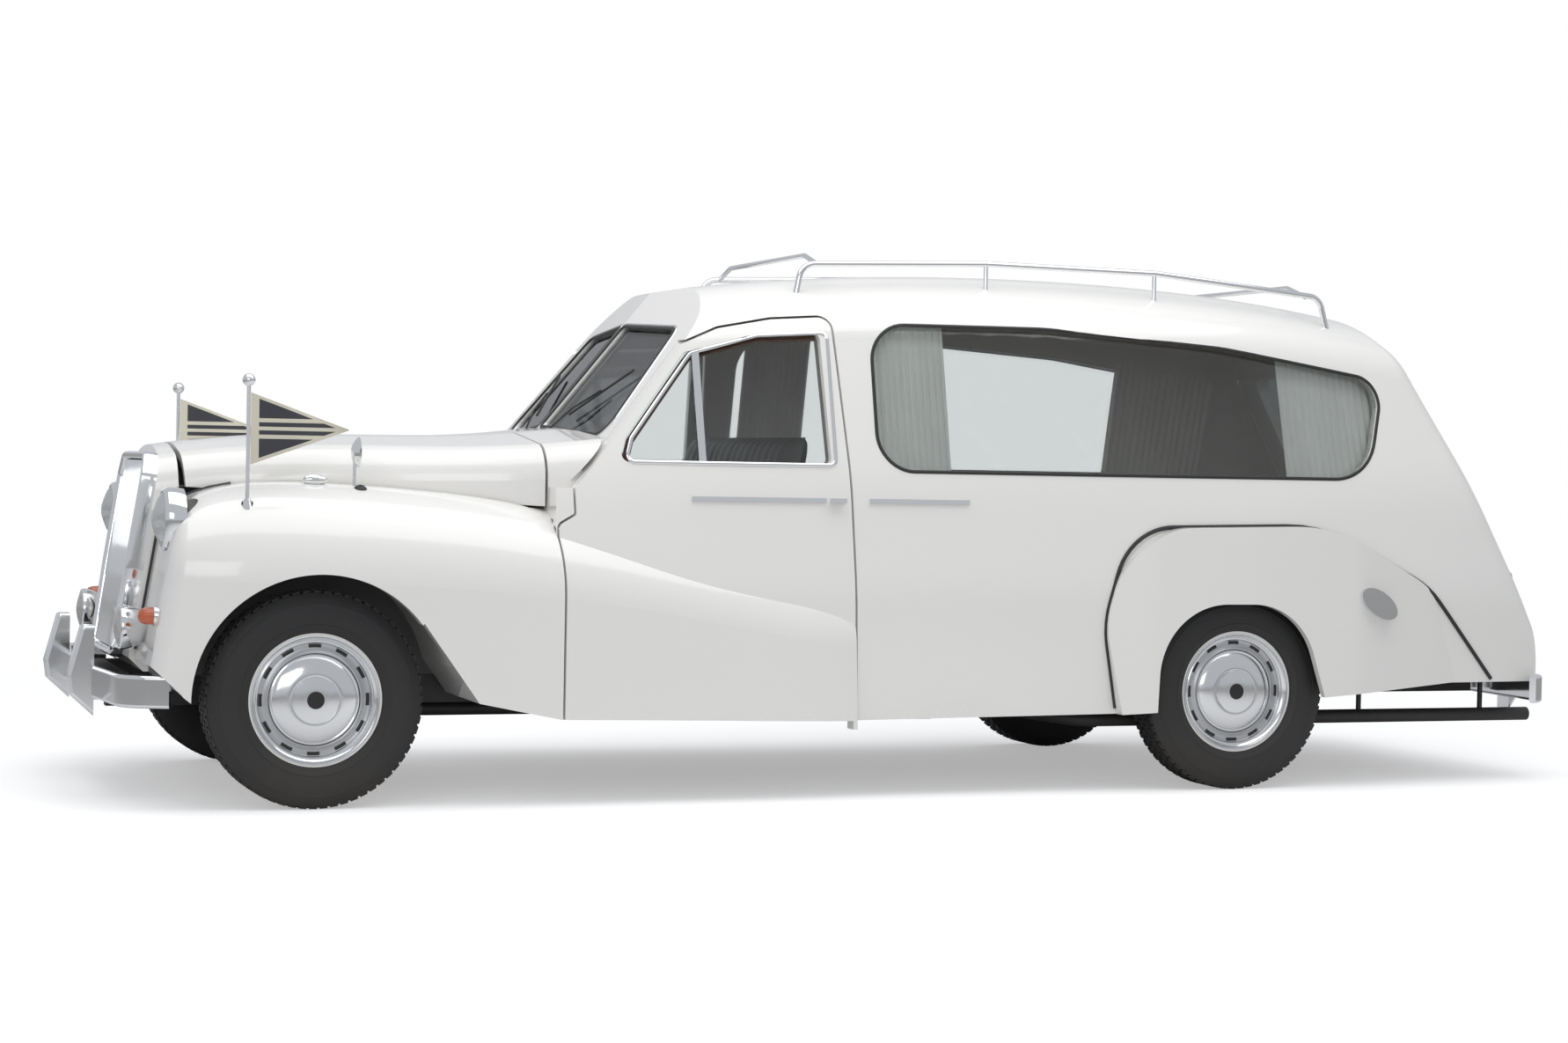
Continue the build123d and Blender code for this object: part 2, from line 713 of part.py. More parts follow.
with BuildPart() as cowl_skin:
    add(nose_outer)
    add(nose_inner, mode=Mode.SUBTRACT)
    add(side_region(COWL_ZONE_SHARES), mode=Mode.INTERSECT)
    add(ahead_of_screen, mode=Mode.INTERSECT)

with BuildPart() as cowl:
    add(shell.part)
    add(split_front.part, mode=Mode.INTERSECT)
    add(cowl_skin.part)
    add(scuttle.part)
    add(roof_region.part, mode=Mode.SUBTRACT)
    add(door_opening.part, mode=Mode.SUBTRACT)
    add(mirrored(door_opening.part), mode=Mode.SUBTRACT)
    add(screen_window.part, mode=Mode.SUBTRACT)

with BuildPart() as roof_panel:
    add(shell.part)
    add(roof_region.part, mode=Mode.INTERSECT)
    add(tailgate_opening.part, mode=Mode.SUBTRACT)

with BuildPart() as door_left:
    add(outer)
    add(wing_form)
    add(inner_side, mode=Mode.SUBTRACT)
    add(side_region(WING_SILL_SHARES), mode=Mode.SUBTRACT)
    add(door_prism, mode=Mode.INTERSECT)
    add(door_window, mode=Mode.SUBTRACT)

with BuildPart() as door_right:
    add(mirrored(door_left.part))

with BuildPart() as rear_wing_form:
    with BuildSketch(Plane.XZ):
        with BuildLine():
            rear_rounds = [0] + [WHEELBASE * share for share in REAR_WING_ROUNDS_SHARES] + [0]
            FilletPolyline(*outline(REAR_WING_SHARES), radius=rear_rounds, close=True)
        make_face()
    extrude(amount=HALF_WIDTH + WALL)
    with Locations((0, -out(REAR_WING_ROOT_SHARE), 0)):
        Box(LENGTH, HALF_WIDTH, ROOF_HEIGHT, align=(Align.CENTER, Align.MAX, Align.MIN), mode=Mode.INTERSECT)
    with BuildSketch(Plane.XY):
        with BuildLine():
            plan = [(along(x), -out(y)) for x, y in REAR_WING_PLAN_SHARES]
            plan_rounds = [WHEELBASE * share for share in REAR_WING_PLAN_ROUNDS_SHARES]
            FilletPolyline(*plan, radius=plan_rounds)
            Polyline(plan[-1], (plan[-1][0], 0), (plan[0][0], 0), plan[0])
        make_face()
    extrude(amount=ROOF_HEIGHT, mode=Mode.INTERSECT)

with BuildPart() as rear_well:
    with BuildSketch(Plane.XZ.offset(REAR_WELL_INNER)):
        with Locations((REAR_AXLE_X, HUB_HEIGHT)):
            Circle(WELL_RADIUS)
        with Locations((REAR_AXLE_X, HUB_HEIGHT)):
            Rectangle(2 * WELL_RADIUS, 2 * WELL_RADIUS, align=(Align.CENTER, Align.MAX))
    extrude(amount=HALF_WIDTH - REAR_WING_SKIN - REAR_WELL_INNER)

with BuildPart() as rear_arch:
    with BuildSketch(Plane.XZ.offset(REAR_WELL_INNER)):
        with BuildLine():
            FilletPolyline(
                *outline(REAR_ARCH_SHARES), radius=[0, REAR_ARCH_ROUND, REAR_ARCH_ROUND, 0], close=True,
            )
        make_face()
    extrude(amount=HALF_WIDTH)

with BuildPart() as rear_wing_left:
    add(rear_wing_form.part)
    add(outer, mode=Mode.SUBTRACT)
    add(rear_well.part, mode=Mode.SUBTRACT)
    add(rear_arch.part, mode=Mode.SUBTRACT)

with BuildPart() as rear_wing_right:
    add(mirrored(rear_wing_left.part))

with BuildPart() as tail_panel_zone:
    with Locations((along(1.2), 0, TAILGATE_FOOT - GAP)):
        Box(WHEELBASE, 2 * TAILGATE_HALF, ROOF_HEIGHT, align=(Align.MIN, Align.CENTER, Align.MAX))

with BuildPart() as left_half:
    with Locations((along(PILLAR_SPLIT_SHARE), 0, 0)):
        Box(LENGTH, 2 * HALF_WIDTH, 2 * ROOF_HEIGHT, align=(Align.MIN, Align.MAX, Align.CENTER))

with BuildPart() as side_panel_left:
    add(shell.part)
    add(left_half.part, mode=Mode.INTERSECT)
    add(roof_region.part, mode=Mode.SUBTRACT)
    add(door_opening.part, mode=Mode.SUBTRACT)
    add(tailgate_opening.part, mode=Mode.SUBTRACT)
    add(tail_panel_zone.part, mode=Mode.SUBTRACT)
    add(quarter_window, mode=Mode.SUBTRACT)
    add(rear_well.part, mode=Mode.SUBTRACT)
    add(rear_arch.part, mode=Mode.SUBTRACT)

with BuildPart() as side_panel_right:
    add(mirrored(side_panel_left.part))

with BuildPart() as tailgate:
    add(shell.part)
    add(tailgate_prism.part, mode=Mode.INTERSECT)
    add(tail_window.part, mode=Mode.SUBTRACT)

# Bonnet and front wings
bonnet_side = side_region(BONNET_SHARES)
with BuildPart() as bonnet:
    add(nose_outer)
    add(nose_inner, mode=Mode.SUBTRACT)
    add(bonnet_side, mode=Mode.INTERSECT)

with BuildPart() as bonnet_pocket:
    add(nose_clear)
    with BuildSketch(Plane.XZ, mode=Mode.PRIVATE) as bonnet_outline:
        with BuildLine():
            Polyline(*outline(BONNET_SHARES), close=True)
        make_face()
        offset(amount=GAP, kind=Kind.INTERSECTION)
    extrude(bonnet_outline.sketch, amount=2 * HALF_WIDTH, both=True, mode=Mode.INTERSECT)

with BuildPart() as front_well:
    with BuildSketch(Plane.XZ.offset(WING_INNER - GAP)):
        with Locations((FRONT_AXLE_X, HUB_HEIGHT)):
            Circle(WELL_RADIUS)
            Rectangle(2 * WELL_RADIUS, 2 * WELL_RADIUS, align=(Align.CENTER, Align.MAX))
    extrude(amount=FRONT_WELL_OUTER - WING_INNER)
    with BuildSketch(Plane.XZ.offset(WING_INNER - GAP)):
        with Locations((FRONT_AXLE_X, HUB_HEIGHT)):
            Circle(ARCH_RADIUS)
        with BuildLine():
            tail_points = outline(ARCH_TAIL_SHARES)
            Polyline(
                (FRONT_AXLE_X, HUB_HEIGHT),
                *tail_points,
                (FRONT_AXLE_X - ARCH_RADIUS, 0),
                (FRONT_AXLE_X - ARCH_RADIUS, HUB_HEIGHT),
                close=True,
            )
        make_face()
    extrude(amount=HALF_WIDTH)

with BuildPart() as headlamps:
    lamp_x = FRONT_AXLE_X - HEADLAMP_AHEAD
    with BuildSketch(
        Plane(origin=(lamp_x, -HEADLAMP_OUT, HEADLAMP_HEIGHT), x_dir=(-1, 0, 0), z_dir=(0, 1, 0)),
    ):
        with BuildLine():
            Polyline(
                (-HEADLAMP_BOWL, 0),
                (-HEADLAMP_BOWL, HEADLAMP_RADIUS / 2),
                (0, HEADLAMP_RADIUS - HEADLAMP_RIM),
                (0, HEADLAMP_RADIUS),
                (HEADLAMP_RING / 2, HEADLAMP_RADIUS),
                (HEADLAMP_RING, HEADLAMP_RADIUS - HEADLAMP_RIM),
            )
            ThreePointArc(
                (HEADLAMP_RING, HEADLAMP_RADIUS - HEADLAMP_RIM),
                dome_middle(HEADLAMP_RING, LENS_DOME, HEADLAMP_RADIUS - HEADLAMP_RIM),
                (HEADLAMP_RING + LENS_DOME, 0),
            )
            Line((HEADLAMP_RING + LENS_DOME, 0), (-HEADLAMP_BOWL, 0))
        make_face()
    revolve(axis=Axis((lamp_x, -HEADLAMP_OUT, HEADLAMP_HEIGHT), (1, 0, 0)))
    mirror(about=Plane.XZ)

with BuildPart() as front_wing_left:
    add(wing_form)
    with Locations((along(DOOR_SHARES[0][0]) - GAP, 0, 0)):
        Box(
            WHEELBASE,
            4 * HALF_WIDTH,
            4 * ROOF_HEIGHT,
            align=(Align.MIN, Align.CENTER, Align.CENTER),
            mode=Mode.SUBTRACT,
        )
    add(outer, mode=Mode.SUBTRACT)
    add(cowl_skin.part, mode=Mode.SUBTRACT)
    add(bonnet_pocket.part, mode=Mode.SUBTRACT)
    add(front_well.part, mode=Mode.SUBTRACT)
    add(side_region(WING_CHIN_SHARES), mode=Mode.SUBTRACT)
    add(side_region(WING_SILL_SHARES), mode=Mode.SUBTRACT)
    add(headlamps.part, mode=Mode.SUBTRACT)
    add(door_gap, mode=Mode.SUBTRACT)
    with Locations((0, -WING_INNER, up(COWL_FOOT_SHARE))):
        Box(LENGTH, HALF_WIDTH, ROOF_HEIGHT, align=(Align.CENTER, Align.MIN, Align.MIN), mode=Mode.SUBTRACT)

with BuildPart() as front_wing_right:
    add(mirrored(front_wing_left.part))

# Glass
with BuildPart() as side_pane:
    add(glass_side)
    add(hull_loft(WALL / 2 + GLASS / 2, ROOF_WALL / 2 + GLASS, 0), mode=Mode.SUBTRACT)

with BuildPart() as door_glass_left:
    add(side_pane.part)
    add(door_window, mode=Mode.INTERSECT)

with BuildPart() as door_glass_right:
    add(mirrored(door_glass_left.part))

with BuildPart() as windscreen_glass:
    add(screen_cutter((SCREEN_WALL + GLASS) / 2))
    add(screen_cutter((SCREEN_WALL - GLASS) / 2), mode=Mode.SUBTRACT)
    add(screen_window.part, mode=Mode.INTERSECT)

with BuildPart() as body_glass:
    add(side_pane.part)
    add(quarter_window, mode=Mode.INTERSECT)
    mirror(about=Plane.XZ)
    add(windscreen_glass.part)

with BuildPart() as tailgate_glass:
    add(tail_cutter((WALL + GLASS) / 2))
    add(tail_cutter((WALL - GLASS) / 2), mode=Mode.SUBTRACT)
    add(tail_window.part, mode=Mode.INTERSECT)

# Curtains hang just inside the quarter windows
with BuildPart() as curtains:
    add(hull_loft(WALL + SEAT_CLEARANCE, ROOF_WALL, 0))
    add(
        hull_loft(WALL + SEAT_CLEARANCE + CURTAIN_THICKNESS, ROOF_WALL + CURTAIN_THICKNESS, 0),
        mode=Mode.SUBTRACT,
    )
    with BuildSketch(Plane.XZ, mode=Mode.PRIVATE) as drapes:
        for drape in CURTAIN_SHARES:
            with BuildLine():
                Polyline(*outline(drape), close=True)
            make_face()
    extrude(drapes.sketch, amount=2 * HALF_WIDTH, both=True, mode=Mode.INTERSECT)


def wheel_plane(x, y, side):
    """Plane through a wheel's axis: first direction outwards, second up, from its centre."""
    return Plane(origin=(x, side * y, HUB_HEIGHT), x_dir=(0, side, 0), z_dir=(side, 0, 0))


def tyre(x, y, side):
    """One tyre, a bulged ring with rounded shoulders."""
    half = TYRE_WIDTH / 2
    bulge = (BEAD_RADIUS + TYRE_RADIUS) / 2
    profile = [
        (-RIM_WIDTH / 2, BEAD_RADIUS),
        (-half, bulge),
        (-half * TREAD_SHARE, TYRE_RADIUS),
        (half * TREAD_SHARE, TYRE_RADIUS),
        (half, bulge),
        (RIM_WIDTH / 2, BEAD_RADIUS),
    ]
    with BuildPart() as ring:
        with BuildSketch(wheel_plane(x, y, side)):
            with BuildLine():
                FilletPolyline(
                    *profile,
                    radius=[0, BULGE_ROUND, SHOULDER_ROUND, SHOULDER_ROUND, BULGE_ROUND, 0],
                    close=True,
                )
            make_face()
        revolve(axis=Axis((x, side * y, HUB_HEIGHT), (0, 1, 0)))
    return ring.part


def wheel(x, y, side):
    """One steel wheel with its trim ring, domed cap, hub and brake drum."""
    rim_half = RIM_WIDTH / 2
    with BuildPart() as disc:
        with BuildSketch(wheel_plane(x, y, side)):
            with BuildLine():
                Polyline(
                    (-rim_half, BEAD_RADIUS),
                    (-rim_half, BEAD_RADIUS - RIM_WALL),
                    (rim_half - TRIM_DISH, BEAD_RADIUS - RIM_WALL - TRIM_DISH / 2),
                    (rim_half - TRIM_DISH, VENT_RADIUS),
                    (DISC_OUT, CAP_RADIUS),
                    (DISC_OUT - DISC_WALL, CAP_RADIUS),
                    (DISC_OUT - DISC_WALL, DRUM_RADIUS),
                    (DISC_OUT - DISC_WALL - DRUM_WIDTH, DRUM_RADIUS),
                    (DISC_OUT - DISC_WALL - DRUM_WIDTH, AXLE_PIN_RADIUS + RUNNING_FIT),
                    (DISC_OUT - DISC_WALL, AXLE_PIN_RADIUS + RUNNING_FIT),
                    (DISC_OUT - DISC_WALL, 0),
                    (DISC_OUT + CAP_HEIGHT, 0),
                )
                ThreePointArc(
                    (DISC_OUT + CAP_HEIGHT, 0),
                    dome_middle(DISC_OUT + DISC_WALL, CAP_HEIGHT - DISC_WALL, CAP_RADIUS),
                    (DISC_OUT + DISC_WALL, CAP_RADIUS),
                )
                Polyline(
                    (DISC_OUT + DISC_WALL, CAP_RADIUS),
                    (rim_half - TRIM_DISH + DISC_WALL, VENT_RADIUS),
                    (rim_half - TRIM_STAND, TRIM_RADIUS - TRIM_DISH),
                    (rim_half + TRIM_STAND, TRIM_RADIUS),
                    (rim_half, BEAD_RADIUS),
                    (-rim_half, BEAD_RADIUS),
                )
            make_face()
        revolve(axis=Axis((x, side * y, HUB_HEIGHT), (0, 1, 0)))
    return disc.part


CORNERS = (
    ("front_left", FRONT_AXLE_X, FRONT_TRACK / 2, -1),
    ("front_right", FRONT_AXLE_X, FRONT_TRACK / 2, 1),
    ("rear_left", REAR_AXLE_X, REAR_TRACK / 2, -1),
    ("rear_right", REAR_AXLE_X, REAR_TRACK / 2, 1),
)


def knuckle(side):
    """One steering knuckle: kingpin barrel and stub axle into the hub."""
    stub_end = FRONT_TRACK / 2 + DISC_OUT - DISC_WALL - SEAT_CLEARANCE
    with BuildPart() as stub:
        with Locations((FRONT_AXLE_X, side * KINGPIN_OUT, HUB_HEIGHT)):
            Cylinder(KINGPIN_BARREL, KINGPIN_BARREL_HEIGHT)
            Cylinder(KINGPIN_RADIUS, KINGPIN_BARREL_HEIGHT + 2 * ARM_HEIGHT)
        with BuildSketch(Plane.XZ.offset(-side * KINGPIN_OUT)):
            with Locations((FRONT_AXLE_X, HUB_HEIGHT)):
                Circle(AXLE_PIN_RADIUS)
        extrude(amount=-side * (stub_end - KINGPIN_OUT))
    return stub.part


with BuildPart() as front_suspension:
    for level in (-1, 1):
        arm_level = HUB_HEIGHT + level * (KINGPIN_BARREL_HEIGHT + ARM_HEIGHT + 2 * SEAT_CLEARANCE) / 2
        with Locations((FRONT_AXLE_X, 0, arm_level)):
            Box(ARM_WIDTH, 2 * KINGPIN_OUT + ARM_WIDTH, ARM_HEIGHT)
    with Locations((FRONT_AXLE_X, 0, HUB_HEIGHT)):
        Box(ARM_WIDTH, 2 * (RAIL_OUT - RAIL_WIDTH / 2), KINGPIN_BARREL_HEIGHT + 2 * ARM_HEIGHT)
    with Locations((FRONT_AXLE_X, KINGPIN_OUT, HUB_HEIGHT), (FRONT_AXLE_X, -KINGPIN_OUT, HUB_HEIGHT)):
        Cylinder(KINGPIN_RADIUS + RUNNING_FIT, WHEELBASE / 2, mode=Mode.SUBTRACT)

with BuildPart() as chassis_frame:
    for side in (-1, 1):
        with BuildSketch(Plane.XZ.offset(side * RAIL_OUT - RAIL_WIDTH / 2)):
            with BuildLine():
                Polyline(*outline(RAIL_SHARES), close=True)
            make_face()
        extrude(amount=RAIL_WIDTH)
    for share in CROSS_SHARES:
        with Locations((along(share), 0, up(RAIL_SHARES[1][1]))):
            Box(CROSS_WIDTH, 2 * RAIL_OUT, CROSS_HEIGHT, align=(Align.CENTER, Align.CENTER, Align.MAX))
    with BuildSketch(Plane.YZ.offset(FRONT_AXLE_X + ENGINE_AFT)):
        with Locations((0, HUB_HEIGHT)):
            Circle(SHAFT_HOLE)
    extrude(amount=WHEELBASE, mode=Mode.SUBTRACT)

with BuildPart() as tail_panel:
    add(shell.part)
    add(tail_panel_zone.part, mode=Mode.INTERSECT)
    add(chassis_frame.part, mode=Mode.SUBTRACT)

# Engine, gearbox and the walls of their bay
front_floor = up(RAIL_SHARES[1][1]) + FLOOR_WALL
rear_floor = up(RAIL_SHARES[3][1]) + FLOOR_WALL
engine_foot = HUB_HEIGHT + KINGPIN_BARREL_HEIGHT / 2 + ARM_HEIGHT + SEAT_CLEARANCE
with BuildPart() as engine_block:
    with Locations((FRONT_AXLE_X + ENGINE_AFT, 0, engine_foot)):
        Box(ENGINE_LENGTH, ENGINE_WIDTH, ENGINE_HEIGHT, align=(Align.CENTER, Align.CENTER, Align.MIN))
    gearbox_front = FRONT_AXLE_X + ENGINE_AFT + ENGINE_LENGTH / 2
    with Locations((gearbox_front, 0, HUB_HEIGHT - 2 * SHAFT_RADIUS)):
        Box(GEARBOX_LENGTH, ENGINE_WIDTH / 2, ENGINE_HEIGHT / 2, align=(Align.MIN, Align.CENTER, Align.MIN))

with BuildPart() as rear_axle:
    with BuildSketch(Plane.XZ.offset(-REAR_TRACK / 2 + DRUM_WIDTH)):
        with Locations((REAR_AXLE_X, HUB_HEIGHT)):
            Circle(AXLE_TUBE)
    extrude(amount=REAR_TRACK - 2 * DRUM_WIDTH)
    with BuildSketch(Plane.XZ.offset(-(REAR_TRACK / 2 + DISC_OUT - DISC_WALL - SEAT_CLEARANCE))):
        with Locations((REAR_AXLE_X, HUB_HEIGHT)):
            Circle(AXLE_PIN_RADIUS)
    extrude(amount=2 * (REAR_TRACK / 2 + DISC_OUT - DISC_WALL - SEAT_CLEARANCE))
    with Locations((REAR_AXLE_X, 0, HUB_HEIGHT)):
        Sphere(DIFF_RADIUS)
    shaft_start = gearbox_front + GEARBOX_LENGTH
    with BuildSketch(Plane.YZ.offset(shaft_start)):
        with Locations((0, HUB_HEIGHT)):
            Circle(SHAFT_RADIUS)
    extrude(amount=REAR_AXLE_X - shaft_start)
    for side in (-1, 1):
        with BuildSketch(Plane.XZ.offset(side * SPRING_OUT - SPRING_WIDTH / 2)):
            with BuildLine():
                foot = HUB_HEIGHT - AXLE_TUBE
                ThreePointArc(
                    (REAR_AXLE_X - SPRING_REACH, foot + SPRING_RISE),
                    (REAR_AXLE_X, foot),
                    (REAR_AXLE_X + SPRING_REACH, foot + SPRING_RISE),
                )
                Line(
                    (REAR_AXLE_X + SPRING_REACH, foot + SPRING_RISE),
                    (REAR_AXLE_X + SPRING_REACH, foot + SPRING_RISE - SPRING_THICKNESS / 2),
                )
                ThreePointArc(
                    (REAR_AXLE_X + SPRING_REACH, foot + SPRING_RISE - SPRING_THICKNESS / 2),
                    (REAR_AXLE_X, foot - SPRING_THICKNESS),
                    (REAR_AXLE_X - SPRING_REACH, foot + SPRING_RISE - SPRING_THICKNESS / 2),
                )
                Line(
                    (REAR_AXLE_X - SPRING_REACH, foot + SPRING_RISE - SPRING_THICKNESS / 2),
                    (REAR_AXLE_X - SPRING_REACH, foot + SPRING_RISE),
                )
            make_face()
        extrude(amount=SPRING_WIDTH)
        for end in (-1, 1):
            with Locations(
                (
                    REAR_AXLE_X + end * SPRING_REACH,
                    side * RAIL_OUT + side * RAIL_WIDTH / 2,
                    foot + SPRING_RISE / 2,
                ),
            ):
                Box(
                    SPRING_EYE,
                    SPRING_OUT - RAIL_OUT + SPRING_WIDTH / 2 - RAIL_WIDTH / 2,
                    SPRING_RISE,
                    align=(Align.CENTER, Align.MIN if side > 0 else Align.MAX, Align.CENTER),
                )

with BuildPart() as exhaust_pipe:
    with BuildLine() as pipe_path:
        FilletPolyline(
            (along(PIPE_SHARES[0]), -PIPE_IN, PIPE_HIGH),
            (along(PIPE_SHARES[1]), -PIPE_IN, PIPE_HIGH),
            (along(PIPE_SHARES[2]), -PIPE_OUT, PIPE_LOW),
            (LENGTH / 2 - PIPE_TAIL, -PIPE_OUT, PIPE_LOW),
            radius=PIPE_BEND,
        )
    with BuildSketch(Plane.YZ.offset(along(PIPE_SHARES[0]))):
        with Locations((-PIPE_IN, PIPE_HIGH)):
            Circle(PIPE_RADIUS)
    sweep(path=pipe_path.wires()[0])
    with BuildSketch(Plane.YZ.offset(along(SILENCER_SHARES[0]))):
        with Locations((-PIPE_IN, PIPE_HIGH)):
            Circle(SILENCER_RADIUS)
    extrude(amount=WHEELBASE * (SILENCER_SHARES[1] - SILENCER_SHARES[0]))
    for share in HANGER_SHARES:
        with Locations((along(share), -PIPE_OUT, PIPE_LOW)):
            Box(
                BRACKET_THICKNESS,
                BRACKET_THICKNESS,
                rear_floor - FLOOR_WALL - PIPE_LOW,
                align=(Align.CENTER, Align.CENTER, Align.MIN),
            )
    with Locations((along(PIPE_SHARES[0]), -PIPE_IN, PIPE_HIGH - PIPE_RADIUS)):
        Box(
            MANIFOLD_LENGTH,
            2 * PIPE_RADIUS,
            engine_foot - PIPE_HIGH + PIPE_RADIUS,
            align=(Align.MAX, Align.CENTER, Align.MIN),
        )

with BuildPart() as fuel_tank:
    with Locations((along((TANK_SHARES[0] + TANK_SHARES[1]) / 2), 0, rear_floor - FLOOR_WALL - TANK_HEIGHT)):
        Box(
            WHEELBASE * (TANK_SHARES[1] - TANK_SHARES[0]),
            2 * TANK_HALF,
            TANK_HEIGHT,
            align=(Align.CENTER, Align.CENTER, Align.MIN),
        )
    fillet(fuel_tank.edges().filter_by(Axis.Y), TANK_ROUND)

with BuildPart() as floor_pan:
    step_x = along(FLOOR_STEP_SHARE)
    with Locations((along(COWL_FRONT_SHARE), 0, front_floor)):
        Box(
            step_x - along(COWL_FRONT_SHARE),
            2 * FLOOR_HALF,
            FLOOR_WALL,
            align=(Align.MIN, Align.CENTER, Align.MAX),
        )
    with Locations((step_x - FLOOR_WALL, 0, front_floor - FLOOR_WALL)):
        Box(
            FLOOR_WALL,
            2 * HALF_WIDTH,
            rear_floor - front_floor + FLOOR_WALL,
            align=(Align.MIN, Align.CENTER, Align.MIN),
        )
    with Locations((step_x, 0, rear_floor)):
        Box(
            along(FLOOR_BACK_SHARE) - step_x,
            2 * HALF_WIDTH,
            FLOOR_WALL,
            align=(Align.MIN, Align.CENTER, Align.MAX),
        )
    with Locations((along(COWL_FRONT_SHARE), 0, front_floor - FLOOR_WALL)):
        Box(
            BULKHEAD_WALL,
            2 * HALF_WIDTH,
            up(COWL_FOOT_SHARE) - front_floor + FLOOR_WALL,
            align=(Align.MIN, Align.CENTER, Align.MIN),
        )
    for side in (-1, 1):
        with BuildSketch(Plane.XZ.offset(side * (REAR_WELL_INNER - WHEELHOUSE_WALL))):
            with Locations((REAR_AXLE_X, HUB_HEIGHT)):
                Circle(WELL_RADIUS + WHEELHOUSE_WALL)
            with Locations((REAR_AXLE_X, rear_floor - FLOOR_WALL)):
                Rectangle(WHEELBASE, WHEELBASE, align=(Align.CENTER, Align.MAX), mode=Mode.SUBTRACT)
        extrude(amount=side * HALF_WIDTH / 2)
    add(rear_well.part, mode=Mode.SUBTRACT)
    add(mirrored(rear_well.part), mode=Mode.SUBTRACT)
    add(inner, mode=Mode.INTERSECT)
    rail_top = up(RAIL_SHARES[1][1])
    for side in (-1, 1):
        with Locations((along(BAY_FRONT_SHARE), side * (WING_INNER - BAY_WALL / 2), rail_top)):
            Box(
                WHEELBASE * (BAY_REAR_SHARE - BAY_FRONT_SHARE),
                BAY_WALL,
                up(BONNET_SHARES[2][1]) - 2 * GAP - rail_top,
                align=(Align.MIN, Align.CENTER, Align.MIN),
            )
    with Locations((FRONT_AXLE_X, 0, rail_top)):
        Box(
            ARM_WIDTH + 2 * GAP,
            2 * WING_INNER,
            engine_foot + GAP - rail_top,
            align=(Align.CENTER, Align.CENTER, Align.MIN),
            mode=Mode.SUBTRACT,
        )

with BuildPart() as seat_base:
    with Locations((along((SEAT_SHARES[0] + SEAT_SHARES[1]) / 2), 0, front_floor)):
        Box(
            WHEELBASE * (SEAT_SHARES[1] - SEAT_SHARES[0]),
            2 * SEAT_HALF - 2 * SOFT_ROUND,
            SEAT_BASE_HEIGHT,
            align=(Align.CENTER, Align.CENTER, Align.MIN),
        )

with BuildPart() as seat_cushion:
    cushion_foot = front_floor + SEAT_BASE_HEIGHT + SEAT_CLEARANCE
    with Locations((along((SEAT_SHARES[0] + SEAT_SHARES[1]) / 2), 0, cushion_foot)):
        Box(
            WHEELBASE * (SEAT_SHARES[1] - SEAT_SHARES[0]),
            2 * SEAT_HALF,
            CUSHION_HEIGHT,
            align=(Align.CENTER, Align.CENTER, Align.MIN),
        )
    fillet(seat_cushion.edges(), SOFT_ROUND)

with BuildPart() as seat_back:
    back_foot = cushion_foot + CUSHION_HEIGHT + SEAT_CLEARANCE
    with BuildSketch(Plane.XZ.offset(-SEAT_HALF)):
        with BuildLine():
            lean_run = BACKREST_HEIGHT * tan(radians(BACKREST_LEAN))
            FilletPolyline(
                (along(SEAT_SHARES[1]) - lean_run - BACKREST_THICKNESS, back_foot),
                (along(SEAT_SHARES[1]) - lean_run, back_foot),
                (along(SEAT_SHARES[1]), back_foot + BACKREST_HEIGHT),
                (along(SEAT_SHARES[1]) - BACKREST_THICKNESS / 2, back_foot + BACKREST_HEIGHT),
                radius=SOFT_ROUND / 2,
                close=True,
            )
        make_face()
    extrude(amount=2 * SEAT_HALF)

with BuildPart() as partition:
    with BuildSketch(Plane.XZ):
        with BuildLine():
            front_x, back_x = along(PARTITION_SHARES[0]), along(PARTITION_SHARES[1])
            Polyline(
                (front_x, front_floor),
                (back_x, front_floor),
                (back_x, PARTITION_HEAD),
                (front_x, PARTITION_HEAD),
                close=True,
            )
        make_face()
    extrude(amount=2 * HALF_WIDTH, both=True)
    add(inner, mode=Mode.INTERSECT)

with BuildPart() as dashboard:
    with BuildSketch(Plane.XZ.offset(-DASH_HALF)):
        with BuildLine():
            Polyline(*outline(DASH_SHARES), close=True)
        make_face()
    extrude(amount=2 * DASH_HALF)
    column_way = (cos(radians(COLUMN_TILT)), 0, sin(radians(COLUMN_TILT)))
    steer_centre = (FRONT_AXLE_X + STEER_CENTRE_AFT, STEER_CENTRE_OUT, STEER_CENTRE_HEIGHT)
    column_plane = Plane(origin=steer_centre, x_dir=(0, 1, 0), z_dir=column_way)
    with BuildSketch(column_plane.offset(-STEER_HUB)):
        Circle(COLUMN_RADIUS)
    extrude(amount=-COLUMN_LENGTH)
    add(inner, mode=Mode.INTERSECT)
    add(cowl.part, mode=Mode.SUBTRACT)

with BuildPart() as steering_wheel:
    with BuildSketch(Plane(origin=steer_centre, x_dir=column_way, z_dir=(0, -1, 0))):
        with Locations((0, STEER_RADIUS)):
            Circle(STEER_RIM)
    revolve(axis=Axis(steer_centre, column_way))
    with BuildSketch(column_plane.offset(-STEER_HUB + SEAT_CLEARANCE)):
        Circle(STEER_HUB)
    extrude(amount=STEER_HUB)
    with BuildSketch(column_plane.offset(-STEER_RIM / 2)):
        for angle in (90, 210, 330):
            with Locations(Location((0, 0), -angle)):
                Rectangle(STEER_RADIUS, 2 * STEER_RIM, align=(Align.MIN, Align.CENTER))
    extrude(amount=STEER_RIM)

